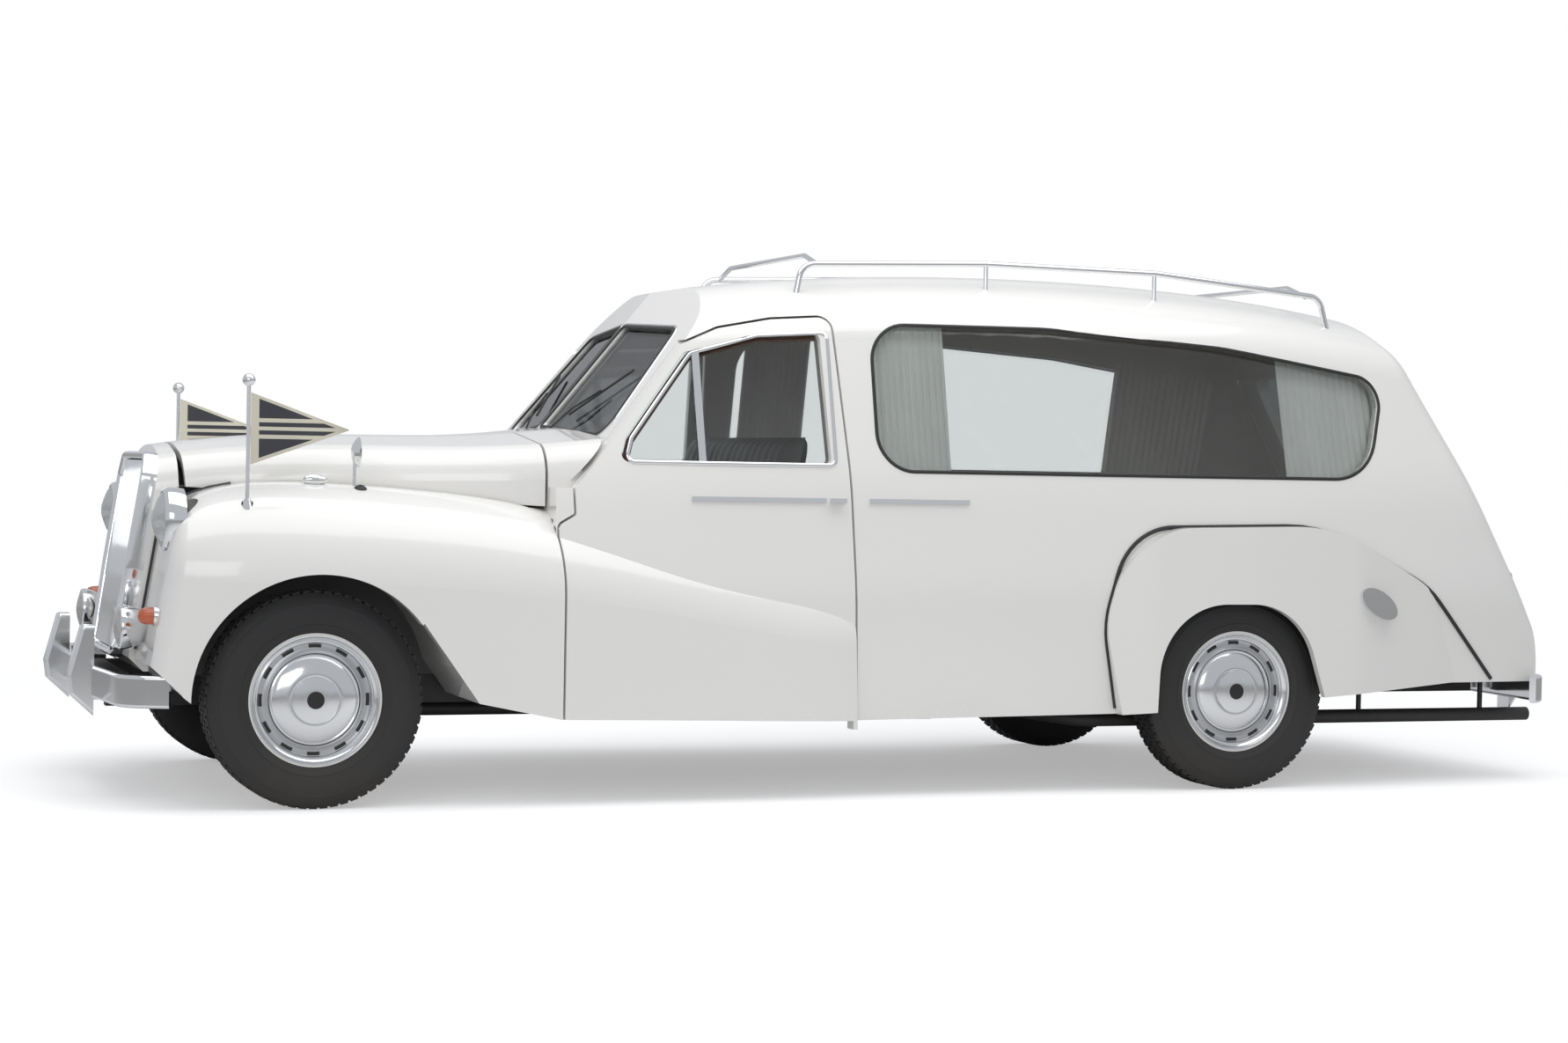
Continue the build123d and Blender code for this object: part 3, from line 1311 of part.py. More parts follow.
with BuildPart() as load_deck:
    deck_start, deck_end = along(DECK_SHARES[0]), along(DECK_SHARES[1])
    deck_top = rear_floor + DECK_RISE
    with Locations((deck_start, 0, deck_top)):
        Box(deck_end - deck_start, 2 * DECK_HALF, DECK_WALL, align=(Align.MIN, Align.CENTER, Align.MAX))
        Box(
            deck_end - deck_start,
            2 * ROLLER_BOARD_HALF,
            ROLLER_BOARD,
            align=(Align.MIN, Align.CENTER, Align.MIN),
        )
    for y in (-1, 1):
        with Locations((deck_start, y * DECK_HALF, front_floor)):
            Box(
                along(FLOOR_STEP_SHARE) - FLOOR_WALL - deck_start,
                DECK_WALL,
                deck_top - front_floor,
                align=(Align.MIN, Align.MIN if y < 0 else Align.MAX, Align.MIN),
            )
        with Locations((along(FLOOR_STEP_SHARE), y * DECK_HALF, rear_floor)):
            Box(
                deck_end - along(FLOOR_STEP_SHARE),
                DECK_WALL,
                DECK_RISE,
                align=(Align.MIN, Align.MIN if y < 0 else Align.MAX, Align.MIN),
            )

with BuildPart() as deck_rollers:
    board_top = deck_top + ROLLER_BOARD
    for share in ROLLER_SHARES:
        with BuildSketch(Plane.XZ.offset(-ROLLER_HALF)):
            with Locations((along(share), board_top + ROLLER_STAND + ROLLER_RADIUS)):
                Circle(ROLLER_RADIUS)
        extrude(amount=2 * ROLLER_HALF)
        for y in (-ROLLER_HALF, ROLLER_HALF):
            with Locations((along(share), y, board_top)):
                Box(
                    2 * ROLLER_RADIUS,
                    ROLLER_RADIUS,
                    2 * ROLLER_RADIUS,
                    align=(Align.CENTER, Align.CENTER, Align.MIN),
                )

with BuildPart() as fog_lamps:
    fog_x = FRONT_AXLE_X - FOG_AHEAD
    with BuildSketch(Plane(origin=(fog_x, -FOG_OUT, FOG_HEIGHT), x_dir=(-1, 0, 0), z_dir=(0, 1, 0))):
        with BuildLine():
            Line((-FOG_BOWL, 0), (FOG_RADIUS / 3, 0))
            ThreePointArc((FOG_RADIUS / 3, 0), (FOG_RADIUS / 4, FOG_RADIUS / 2), (0, FOG_RADIUS))
            ThreePointArc((0, FOG_RADIUS), (-FOG_BOWL * 3 / 4, FOG_RADIUS * 2 / 3), (-FOG_BOWL, 0))
        make_face()
    revolve(axis=Axis((fog_x, -FOG_OUT, FOG_HEIGHT), (1, 0, 0)))
    add(wing_form, mode=Mode.SUBTRACT)
    mirror(about=Plane.XZ)

with BuildPart() as side_lamps:
    with BuildSketch(
        Plane(
            origin=(FRONT_AXLE_X - AMBER_AHEAD, -AMBER_OUT, AMBER_HEIGHT),
            x_dir=(-1, 0, 0),
            z_dir=(0, 1, 0),
        ),
    ):
        with BuildLine():
            Polyline((0, 0), (0, AMBER_RADIUS), (AMBER_LENGTH - AMBER_RADIUS / 2, AMBER_RADIUS))
            ThreePointArc(
                (AMBER_LENGTH - AMBER_RADIUS / 2, AMBER_RADIUS),
                dome_middle(AMBER_LENGTH - AMBER_RADIUS / 2, AMBER_RADIUS / 2, AMBER_RADIUS),
                (AMBER_LENGTH, 0),
            )
            Line((AMBER_LENGTH, 0), (0, 0))
        make_face()
    revolve(axis=Axis((FRONT_AXLE_X - AMBER_AHEAD, -AMBER_OUT, AMBER_HEIGHT), (1, 0, 0)))
    add(wing_form, mode=Mode.SUBTRACT)
    mirror(about=Plane.XZ)

with BuildPart() as wing_fittings:
    mirror_bulge, mirror_half = dome_middle(0, MIRROR_THICKNESS, MIRROR_RADIUS)
    with BuildSketch(
        Plane(
            origin=(FRONT_AXLE_X + TORPEDO_AFT, -TORPEDO_OUT, TORPEDO_HEIGHT),
            x_dir=(1, 0, 0),
            z_dir=(0, -1, 0),
        ),
    ):
        with BuildLine():
            Polyline(
                (-TORPEDO_LENGTH / 2, 0),
                *[(TORPEDO_LENGTH * x, TORPEDO_RADIUS * r) for x, r in TORPEDO_SHARES],
                (TORPEDO_LENGTH / 2, 0),
                close=True,
            )
        make_face()
    revolve(axis=Axis((FRONT_AXLE_X + TORPEDO_AFT, -TORPEDO_OUT, TORPEDO_HEIGHT), (1, 0, 0)))
    with Locations((FRONT_AXLE_X + TORPEDO_AFT, -TORPEDO_OUT, TORPEDO_HEIGHT)):
        Cylinder(TORPEDO_RADIUS / 2, 4 * TORPEDO_RADIUS, align=(Align.CENTER, Align.CENTER, Align.MAX))
    with BuildSketch(
        Plane(
            origin=(FRONT_AXLE_X + MIRROR_AFT, -MIRROR_OUT, MIRROR_HEIGHT),
            x_dir=(1, 0, 0),
            z_dir=(0, -1, 0),
        ),
    ):
        with BuildLine():
            Line((-MIRROR_THICKNESS, 0), (0, 0))
            Line((0, 0), (0, MIRROR_RADIUS))
            ThreePointArc((0, MIRROR_RADIUS), (-mirror_bulge, mirror_half), (-MIRROR_THICKNESS, 0))
        make_face()
    revolve(axis=Axis((FRONT_AXLE_X + MIRROR_AFT, -MIRROR_OUT, MIRROR_HEIGHT), (1, 0, 0)))
    with Locations((FRONT_AXLE_X + MIRROR_AFT - MIRROR_THICKNESS / 2, -MIRROR_OUT, MIRROR_HEIGHT)):
        Cylinder(MIRROR_POST, 4 * MIRROR_RADIUS, align=(Align.CENTER, Align.CENTER, Align.MAX))
    add(wing_form, mode=Mode.SUBTRACT)
    mirror(about=Plane.XZ)

with BuildPart() as flag_masts:
    mast_foot = MAST_FOOT_TOP - 4 * MAST_FOOT_RADIUS
    with Locations((FRONT_AXLE_X - MAST_AHEAD, -MAST_OUT, mast_foot)):
        Cylinder(
            MAST_RADIUS,
            MAST_TOP + BALL_RADIUS - mast_foot,
            align=(Align.CENTER, Align.CENTER, Align.MIN),
        )
    with Locations((FRONT_AXLE_X - MAST_AHEAD, -MAST_OUT, MAST_TOP + BALL_RADIUS)):
        Sphere(BALL_RADIUS)
    with Locations((FRONT_AXLE_X - MAST_AHEAD, -MAST_OUT, MAST_FOOT_TOP)):
        Cone(
            2 * MAST_FOOT_RADIUS,
            MAST_FOOT_RADIUS / 2,
            4 * MAST_FOOT_RADIUS,
            align=(Align.CENTER, Align.CENTER, Align.MAX),
        )
    add(wing_form, mode=Mode.SUBTRACT)
    mirror(about=Plane.XZ)

with BuildPart() as pennants:
    mast_x = FRONT_AXLE_X - MAST_AHEAD
    with BuildSketch(Plane.XZ.offset(MAST_OUT - PENNANT_THICKNESS / 2)):
        with BuildLine():
            Polyline(
                (mast_x + MAST_RADIUS + SEAT_CLEARANCE, PENNANT_LOW),
                (mast_x + PENNANT_LENGTH, PENNANT_TIP),
                (mast_x + MAST_RADIUS + SEAT_CLEARANCE, PENNANT_HIGH),
                close=True,
            )
        make_face()
    extrude(amount=PENNANT_THICKNESS)
    mirror(about=Plane.XZ)

with BuildPart() as tail_lamps:
    with BuildSketch(Plane.YZ.offset(FRONT_AXLE_X + TAIL_LAMP_END)):
        with Locations((-TAIL_LAMP_OUT, TAIL_LAMP_HEIGHT)):
            Circle(TAIL_LAMP_RADIUS)
    extrude(amount=-4 * TAIL_LAMP_RADIUS)
    fillet(tail_lamps.edges().group_by(Axis.X)[-1], TAIL_LAMP_ROUND)
    add(outer, mode=Mode.SUBTRACT)
    mirror(about=Plane.XZ)


def bumper(nose_x, level, half, wrap, back):
    """A bumper blade swept across the vehicle, its ends wrapped towards the body."""
    plan = [(nose_x + back * wrap * x, half * y, level) for x, y in BUMPER_PLAN_SHARES]
    plan += [(x, -y, z) for x, y, z in reversed(plan)]
    with BuildPart() as blade:
        with BuildLine() as path:
            FilletPolyline(*plan, radius=list(BUMPER_BENDS) + list(reversed(BUMPER_BENDS)))
        start = path.wires()[0]
        with BuildSketch(Plane(origin=start @ 0, x_dir=(0, 0, 1), z_dir=start % 0)):
            RectangleRounded(BUMPER_HEIGHT, BUMPER_THICKNESS, BUMPER_ROUND)
        sweep(path=start)
    return blade.part


def overriders(blade_x, reach, drop, place, back):
    """A pair of rounded overriders standing out from a bumper blade."""
    with BuildPart() as pair:
        for side in (-1, 1):
            with BuildSketch(Plane.XZ.offset(side * place - OVERRIDER_WIDTH / 2)):
                with BuildLine():
                    Polyline(
                        *[(blade_x - back * reach * x, up(z) - drop) for x, z in OVERRIDER_SHARES],
                        close=True,
                    )
                make_face()
            extrude(amount=OVERRIDER_WIDTH)
        face = pair.edges().filter_by(lambda e: abs(e.center().X - blade_x) > GAP)
        fillet(face, OVERRIDER_ROUND / 2)
    return pair.part


with BuildPart() as front_bumper:
    front_blade_x = -LENGTH / 2 + FRONT_BUMPER_NOSE
    add(bumper(front_blade_x, FRONT_BUMPER_LEVEL, FRONT_BUMPER_HALF, FRONT_BUMPER_WRAP, 1))
    add(overriders(front_blade_x, FRONT_BUMPER_NOSE, 0, OVERRIDER_OUT, 1))
    for side in (-1, 1):
        with Locations((front_blade_x, side * RAIL_OUT, FRONT_BUMPER_LEVEL)):
            Box(
                along(RAIL_SHARES[0][0]) - front_blade_x,
                BRACKET_THICKNESS,
                BRACKET_HEIGHT,
                align=(Align.MIN, Align.CENTER, Align.MAX),
            )
    add(front_wing_left.part, mode=Mode.SUBTRACT)
    add(front_wing_right.part, mode=Mode.SUBTRACT)

with BuildPart() as rear_bumper:
    rear_blade_x = LENGTH / 2 - REAR_BUMPER_NOSE
    add(bumper(rear_blade_x, REAR_BUMPER_LEVEL, REAR_BUMPER_HALF, REAR_BUMPER_WRAP, -1))
    add(
        overriders(
            rear_blade_x,
            REAR_BUMPER_NOSE,
            FRONT_BUMPER_LEVEL - REAR_BUMPER_LEVEL,
            REAR_OVERRIDER_OUT,
            -1,
        ),
    )
    for side in (-1, 1):
        with Locations((rear_blade_x, side * RAIL_OUT, REAR_BUMPER_LEVEL)):
            Box(
                rear_blade_x - along(RAIL_SHARES[6][0]),
                BRACKET_THICKNESS,
                BRACKET_HEIGHT,
                align=(Align.MAX, Align.CENTER, Align.CENTER),
            )
    add(outer, mode=Mode.SUBTRACT)

# Nose panel between the wings and the radiator grille before it
with BuildPart() as nose_panel:
    with Locations((along(NOSE_PANEL_SHARES[1][0]), 0, 0)):
        Box(
            WHEELBASE / 2,
            2 * WING_INNER,
            up(APRON_HEAD_SHARE),
            align=(Align.CENTER, Align.CENTER, Align.MIN),
        )
    add(nose_outer)
    add(side_region(NOSE_PANEL_SHARES), mode=Mode.INTERSECT)

grille_plane = Plane(
    origin=(FRONT_AXLE_X - GRILLE_FOOT_AHEAD, 0, 0),
    x_dir=(0, 1, 0),
    z_dir=(cos(radians(GRILLE_LEAN)), 0, -sin(radians(GRILLE_LEAN))),
)
with BuildPart() as radiator_grille:
    with BuildSketch(grille_plane) as grille_outline:
        with BuildLine():
            FilletPolyline(*[(out(y), up(z)) for y, z in GRILLE_SHARES], radius=GRILLE_ROUND, close=True)
        make_face()
    extrude(amount=GRILLE_DEPTH)
    with BuildSketch(grille_plane):
        add(grille_outline.sketch_local)
        offset(amount=-GRILLE_RIM, mode=Mode.REPLACE)
    extrude(amount=GRILLE_DEPTH - GRILLE_BACK, mode=Mode.SUBTRACT)
    with BuildSketch(grille_plane.offset(GRILLE_DEPTH - GRILLE_BACK)):
        add(grille_outline.sketch_local)
        offset(amount=-GRILLE_RIM / 2, mode=Mode.REPLACE)
        slat_pitch = 2 * out(GRILLE_SHARES[5][0]) / (SLAT_COUNT + 1)
        with GridLocations(slat_pitch, ROOF_HEIGHT, SLAT_COUNT, 1):
            Rectangle(SLAT_THICKNESS, 2 * ROOF_HEIGHT, mode=Mode.INTERSECT)
    extrude(amount=-SLAT_DEPTH)
    add(nose_panel.part, mode=Mode.SUBTRACT)

# Roof rack
with BuildPart() as roof_rack:
    with BuildLine(Plane.XZ.offset(RACK_OUT)) as rack_path:
        FilletPolyline(*outline(RACK_SHARES), radius=RACK_BEND)
    rack_line = rack_path.wires()[0]
    with BuildSketch(Plane(origin=rack_line @ 0, z_dir=rack_line % 0)):
        Circle(RACK_TUBE)
    sweep(path=rack_line)
    for share, level in RACK_SHARES[2:4]:
        with Locations((along(share), -RACK_OUT, up(level))):
            Cylinder(RACK_POST, 4 * RACK_BEND, align=(Align.CENTER, Align.CENTER, Align.MAX))
    add(outer, mode=Mode.SUBTRACT)
    mirror(about=Plane.XZ)
    for share, level in (RACK_SHARES[1], RACK_SHARES[4]):
        with BuildLine() as bar_path:
            bar_x = along(share)
            bar_x += RACK_BEND if share < 1 else -RACK_BEND
            FilletPolyline(
                (bar_x, -RACK_OUT, up(level)),
                (bar_x, -RACK_OUT * RACK_BAR_SHARE, up(level) + RACK_BAR_RISE),
                (bar_x, RACK_OUT * RACK_BAR_SHARE, up(level) + RACK_BAR_RISE),
                (bar_x, RACK_OUT, up(level)),
                radius=RACK_BEND,
            )
        bar_line = bar_path.wires()[0]
        with BuildSketch(Plane(origin=bar_line @ 0, z_dir=bar_line % 0)):
            Circle(RACK_BAR)
        sweep(path=bar_line)

# Bright strips and handles on the sides
with BuildPart() as trim_layer:
    add(hull_loft(-STRIP_STAND, -STRIP_STAND, 0))
    add(outer_side, mode=Mode.SUBTRACT)

with BuildPart() as handle_layer:
    add(hull_loft(-HANDLE_STAND, -HANDLE_STAND, 0))
    add(outer_side, mode=Mode.SUBTRACT)

with BuildPart() as bar_layer:
    add(hull_loft(STRIP_STAND, STRIP_STAND, 0))
    add(glass_side, mode=Mode.SUBTRACT)


def side_band(layer, shares, height, depth):
    """A level band of a layer on the left side, between two places."""
    with BuildPart() as band:
        with Locations((along(shares[0]), 0, height)):
            Box(
                WHEELBASE * (shares[1] - shares[0]),
                2 * HALF_WIDTH,
                depth,
                align=(Align.MIN, Align.MAX, Align.CENTER),
            )
        add(layer, mode=Mode.INTERSECT)
    return band.part


with BuildPart() as door_trim_left:
    add(side_band(trim_layer.part, DOOR_STRIP_SHARES, STRIP_HEIGHT, STRIP_DEPTH))
    add(side_band(handle_layer.part, HANDLE_SHARES, STRIP_HEIGHT, STRIP_DEPTH))
    bar_half_share = DIVISION_BAR_WIDTH / 2 / WHEELBASE
    bar_shares = (DIVISION_BAR_SHARE - bar_half_share, DIVISION_BAR_SHARE + bar_half_share)
    with BuildPart(mode=Mode.PRIVATE) as division_bar:
        add(side_band(bar_layer.part, bar_shares, ROOF_HEIGHT / 2, ROOF_HEIGHT))
        add(door_window, mode=Mode.INTERSECT)
    add(division_bar.part)

with BuildPart() as door_trim_right:
    add(mirrored(door_trim_left.part))

with BuildPart() as side_trim:
    add(side_band(trim_layer.part, PANEL_STRIP_SHARES, STRIP_HEIGHT, STRIP_DEPTH))
    with BuildSketch(Plane.XZ.offset(HALF_WIDTH - POD_SEAT)):
        with Locations(Location((FRONT_AXLE_X + POD_AFT, POD_HEIGHT), -POD_TILT)):
            Ellipse(POD_HALF_LENGTH, POD_HALF_HEIGHT)
    extrude(amount=POD_SEAT)
    add(rear_wing_form.part, mode=Mode.SUBTRACT)
    mirror(about=Plane.XZ)

bodies = {
    "chassis_frame": chassis_frame,
    "floor_pan": floor_pan,
    "engine_block": engine_block,
    "front_suspension": front_suspension,
    "rear_axle": rear_axle,
    "exhaust_pipe": exhaust_pipe,
    "fuel_tank": fuel_tank,
    "cowl": cowl,
    "roof_panel": roof_panel,
    "side_panel_left": side_panel_left,
    "side_panel_right": side_panel_right,
    "rear_wing_left": rear_wing_left,
    "rear_wing_right": rear_wing_right,
    "tail_panel": tail_panel,
    "front_wing_left": front_wing_left,
    "front_wing_right": front_wing_right,
    "nose_panel": nose_panel,
    "radiator_grille": radiator_grille,
    "body_glass": body_glass,
    "headlamps": headlamps,
    "fog_lamps": fog_lamps,
    "side_lamps": side_lamps,
    "tail_lamps": tail_lamps,
    "wing_fittings": wing_fittings,
    "flag_masts": flag_masts,
    "pennants": pennants,
    "front_bumper": front_bumper,
    "rear_bumper": rear_bumper,
    "roof_rack": roof_rack,
    "side_trim": side_trim,
    "curtains": curtains,
    "seat_base": seat_base,
    "seat_cushion": seat_cushion,
    "seat_back": seat_back,
    "partition": partition,
    "dashboard": dashboard,
    "load_deck": load_deck,
    "deck_rollers": deck_rollers,
    "bonnet": bonnet,
    "door_left": door_left,
    "door_right": door_right,
    "door_glass_left": door_glass_left,
    "door_glass_right": door_glass_right,
    "door_trim_left": door_trim_left,
    "door_trim_right": door_trim_right,
    "tailgate": tailgate,
    "tailgate_glass": tailgate_glass,
    "steering_wheel": steering_wheel,
}
pieces = {name: built.part for name, built in bodies.items()}
for name, x, y, side in CORNERS:
    pieces["tyre_" + name] = tyre(x, y, side)
    pieces["wheel_" + name] = wheel(x, y, side)
pieces["knuckle_left"] = knuckle(-1)
pieces["knuckle_right"] = knuckle(1)

for name, solid in pieces.items():
    solid.label = name
    export_step(solid, "parts/" + name + ".step")
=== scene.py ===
from math import acos, ceil, cos, pi, radians, sin, tan

import bmesh
import bpy
from mathutils import Matrix, Vector
from mathutils.bvhtree import BVHTree


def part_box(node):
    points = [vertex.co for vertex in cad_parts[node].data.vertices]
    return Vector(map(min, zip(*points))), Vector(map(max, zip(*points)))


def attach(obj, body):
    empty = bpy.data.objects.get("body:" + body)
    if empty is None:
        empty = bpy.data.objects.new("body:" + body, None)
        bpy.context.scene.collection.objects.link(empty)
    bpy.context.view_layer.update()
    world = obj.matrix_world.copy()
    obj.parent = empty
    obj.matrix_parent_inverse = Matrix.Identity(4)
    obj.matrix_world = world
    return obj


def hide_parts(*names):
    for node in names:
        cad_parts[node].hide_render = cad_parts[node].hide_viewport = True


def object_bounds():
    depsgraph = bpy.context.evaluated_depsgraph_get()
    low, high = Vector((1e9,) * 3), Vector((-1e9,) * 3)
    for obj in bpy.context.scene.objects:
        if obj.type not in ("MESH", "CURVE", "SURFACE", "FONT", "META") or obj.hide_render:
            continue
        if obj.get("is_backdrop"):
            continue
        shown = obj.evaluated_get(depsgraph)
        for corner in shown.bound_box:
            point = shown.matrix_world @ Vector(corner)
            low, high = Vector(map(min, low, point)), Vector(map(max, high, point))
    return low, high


bl_info = {
    "name": "White hearse",
    "version": (1, 0, 0),
    "blender": (4, 5, 0),
    "location": "3D View > Sidebar > Hearse",
    "description": "Dresses the hearse's frame with its finished pieces and stage",
    "category": "Object",
}

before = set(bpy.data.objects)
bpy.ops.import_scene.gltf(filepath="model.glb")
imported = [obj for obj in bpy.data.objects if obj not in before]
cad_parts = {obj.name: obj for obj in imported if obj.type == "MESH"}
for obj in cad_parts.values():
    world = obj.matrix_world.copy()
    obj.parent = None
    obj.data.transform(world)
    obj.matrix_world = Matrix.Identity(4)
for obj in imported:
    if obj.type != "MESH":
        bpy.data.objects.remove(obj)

# The car's driving sizes
FRONT_AXLE = -2.015
WHEELBASE = 3.353
REAR_AXLE = FRONT_AXLE + WHEELBASE
ROOF = 1.85
HALF_WIDTH = 0.946
HUB = 0.357
FRONT_HALF_TRACK = 0.743
REAR_HALF_TRACK = 0.7875
MAST_X, MAST_Y = FRONT_AXLE - 0.226, 0.785
MIRROR_X, MIRROR_Y = FRONT_AXLE + 0.165, 0.680
SIDES = ((-1, "left"), (1, "right"))

PAINTED = (
    "cowl", "roof_panel", "side_panel_left", "side_panel_right", "rear_wing_left", "rear_wing_right",
    "tail_panel", "front_wing_left", "front_wing_right", "nose_panel", "bonnet", "door_left",
    "door_right", "tailgate",
)
BLACKENED = (
    "chassis_frame", "front_suspension", "rear_axle", "exhaust_pipe", "fuel_tank", "knuckle_left",
    "knuckle_right",
)
BRIGHT = (
    "front_bumper", "rear_bumper", "roof_rack", "side_trim", "wing_fittings", "flag_masts",
    "door_trim_left", "door_trim_right", "deck_rollers",
)
GLAZED = ("body_glass", "door_glass_left", "door_glass_right", "tailgate_glass")

# Wheel corners: name, place along, place across, side
CORNERS = (
    ("front_left", FRONT_AXLE, FRONT_HALF_TRACK, -1),
    ("front_right", FRONT_AXLE, FRONT_HALF_TRACK, 1),
    ("rear_left", REAR_AXLE, REAR_HALF_TRACK, -1),
    ("rear_right", REAR_AXLE, REAR_HALF_TRACK, 1),
)

# Side views in shares of the wheelbase behind the front axle and of the roof's height
DOOR_WINDOW = (
    (0.311, 0.622), (0.319, 0.666), (0.387, 0.826), (0.458, 0.862), (0.533, 0.871), (0.534, 0.622),
)
DOOR_ROUND = 0.024
QUARTER_WINDOW = (
    (0.581, 0.613), (0.581, 0.891), (0.785, 0.894), (0.996, 0.868), (1.202, 0.812), (1.166, 0.613),
)
QUARTER_ROUNDS = (0.134, 0.134, 1.0, 1.0, 0.10, 0.20)
WING_LINE = (
    (0.857, 0.152), (0.838, 0.330), (0.868, 0.512), (1.100, 0.520), (1.240, 0.400), (1.330, 0.212),
)
WING_ROUNDS = (0.0, 0.335, 0.318, 0.603, 0.335, 0.0)

# Front views in shares of the half width and of the roof's height
GRILLE = (
    (-0.285, 0.255), (-0.330, 0.420), (-0.335, 0.590), (-0.290, 0.634),
    (0.290, 0.634), (0.335, 0.590), (0.330, 0.420), (0.285, 0.255),
)
SCREEN_PANE = ((0.0159, 0.690), (0.0159, 0.886), (0.560, 0.872), (0.690, 0.672))
SCREEN_ROUNDS = (0.012, 0.012, 0.045, 0.045)

# Half widths of the load space at stations along it: place, belt, rail, heights of both
STATIONS = (
    (0.373, 0.875, 0.710, 0.595, 0.881),
    (0.596, 0.899, 0.756, 0.595, 0.914),
    (0.865, 0.901, 0.761, 0.595, 0.916),
    (1.103, 0.890, 0.740, 0.595, 0.889),
    (1.268, 0.862, 0.692, 0.595, 0.846),
)
WALL = 0.045

# Distance of the curtains' middle off the wall, cloth for each metre of run, and steps in a fold
CURTAIN_OFF_WALL = 0.018
GATHER = 2.2
FOLD_STEPS = 14
# Curtains: their run along, the heights of foot and heads, and their folds next to the front one's
CURTAINS = (
    ("front", (0.588, 0.670), 0.608, (0.898, 0.900), 1.0),
    ("rear", (1.072, 1.205), 0.608, (0.868, 0.822), 1.4),
)


def along(share):
    """The place along the car at a share of the wheelbase behind the front axle."""
    return FRONT_AXLE + share * WHEELBASE


def side_view(points):
    """Points in metres, along and up, from shares of the wheelbase and of the roof's height."""
    return [Vector((along(x), z * ROOF)) for x, z in points]


# Materials

def node_group(name, inputs, outputs):
    """An empty shader group with float inputs and the named outputs."""
    group = bpy.data.node_groups.new(name, "ShaderNodeTree")
    group.interface.new_socket("Vector", in_out="INPUT", socket_type="NodeSocketVector")
    for label, value in inputs:
        socket = group.interface.new_socket(label, in_out="INPUT", socket_type="NodeSocketFloat")
        socket.default_value = value
    for label, kind in outputs:
        group.interface.new_socket(label, in_out="OUTPUT", socket_type=kind)
    return group, group.nodes.new("NodeGroupInput"), group.nodes.new("NodeGroupOutput")


def maths(tree, operation, first, second, clamp=False):
    """One maths node, its inputs sockets or plain values."""
    node = tree.nodes.new("ShaderNodeMath")
    node.operation = operation
    node.use_clamp = clamp
    for slot, value in enumerate((first, second)):
        if isinstance(value, (int, float)):
            node.inputs[slot].default_value = value
        elif value is not None:
            tree.links.new(value, node.inputs[slot])
    return node.outputs[0]


def noise(tree, vector, scale, detail, rough=0.5):
    """The grey value of one noise texture."""
    node = tree.nodes.new("ShaderNodeTexNoise")
    node.inputs["Scale"].default_value = scale
    node.inputs["Detail"].default_value = detail
    node.inputs["Roughness"].default_value = rough
    tree.links.new(vector, node.inputs["Vector"])
    return node.outputs["Fac"]


def weather_group():
    """Fine mottle, road grime that fades upwards, and a bumped normal."""
    name = "Weathering"
    if name in bpy.data.node_groups:
        return bpy.data.node_groups[name]
    group, start, end = node_group(
        name,
        (("Grain", 40.0), ("Bump", 0.02), ("Grime height", 0.5)),
        (("Mottle", "NodeSocketFloat"), ("Grime", "NodeSocketFloat"), ("Normal", "NodeSocketVector")),
    )
    fine = group.nodes.new("ShaderNodeTexNoise")
    fine.inputs["Detail"].default_value = 4.0
    group.links.new(start.outputs["Vector"], fine.inputs["Vector"])
    group.links.new(start.outputs["Grain"], fine.inputs["Scale"])
    broad = noise(group, start.outputs["Vector"], 3.0, 5.0, 0.6)
    split = group.nodes.new("ShaderNodeSeparateXYZ")
    group.links.new(start.outputs["Vector"], split.inputs[0])
    low = maths(group, "DIVIDE", split.outputs["Z"], start.outputs["Grime height"])
    fade = maths(group, "SUBTRACT", 1.0, low, True)
    patch = maths(group, "MULTIPLY", fade, broad)
    group.links.new(maths(group, "MULTIPLY", patch, fade, True), end.inputs["Grime"])
    group.links.new(maths(group, "MULTIPLY", fine.outputs["Fac"], broad), end.inputs["Mottle"])
    bump = group.nodes.new("ShaderNodeBump")
    bump.inputs["Distance"].default_value = 0.002
    group.links.new(start.outputs["Bump"], bump.inputs["Strength"])
    group.links.new(fine.outputs["Fac"], bump.inputs["Height"])
    group.links.new(bump.outputs["Normal"], end.inputs["Normal"])
    return group


def mix_colour(tree, factor, first, second):
    """One colour mixed from two, each a socket or a plain colour."""
    node = tree.nodes.new("ShaderNodeMix")
    node.data_type = "RGBA"
    if isinstance(factor, (int, float)):
        node.inputs[0].default_value = factor
    else:
        tree.links.new(factor, node.inputs[0])
    for slot, value in ((6, first), (7, second)):
        if isinstance(value, tuple):
            node.inputs[slot].default_value = (*value, 1.0)
        else:
            tree.links.new(value, node.inputs[slot])
    return node.outputs[2]


def new_material(name):
    """A new material, its node tree and its shader."""
    material = bpy.data.materials.new(name)
    material.use_nodes = True
    return material, material.node_tree, material.node_tree.nodes["Principled BSDF"]


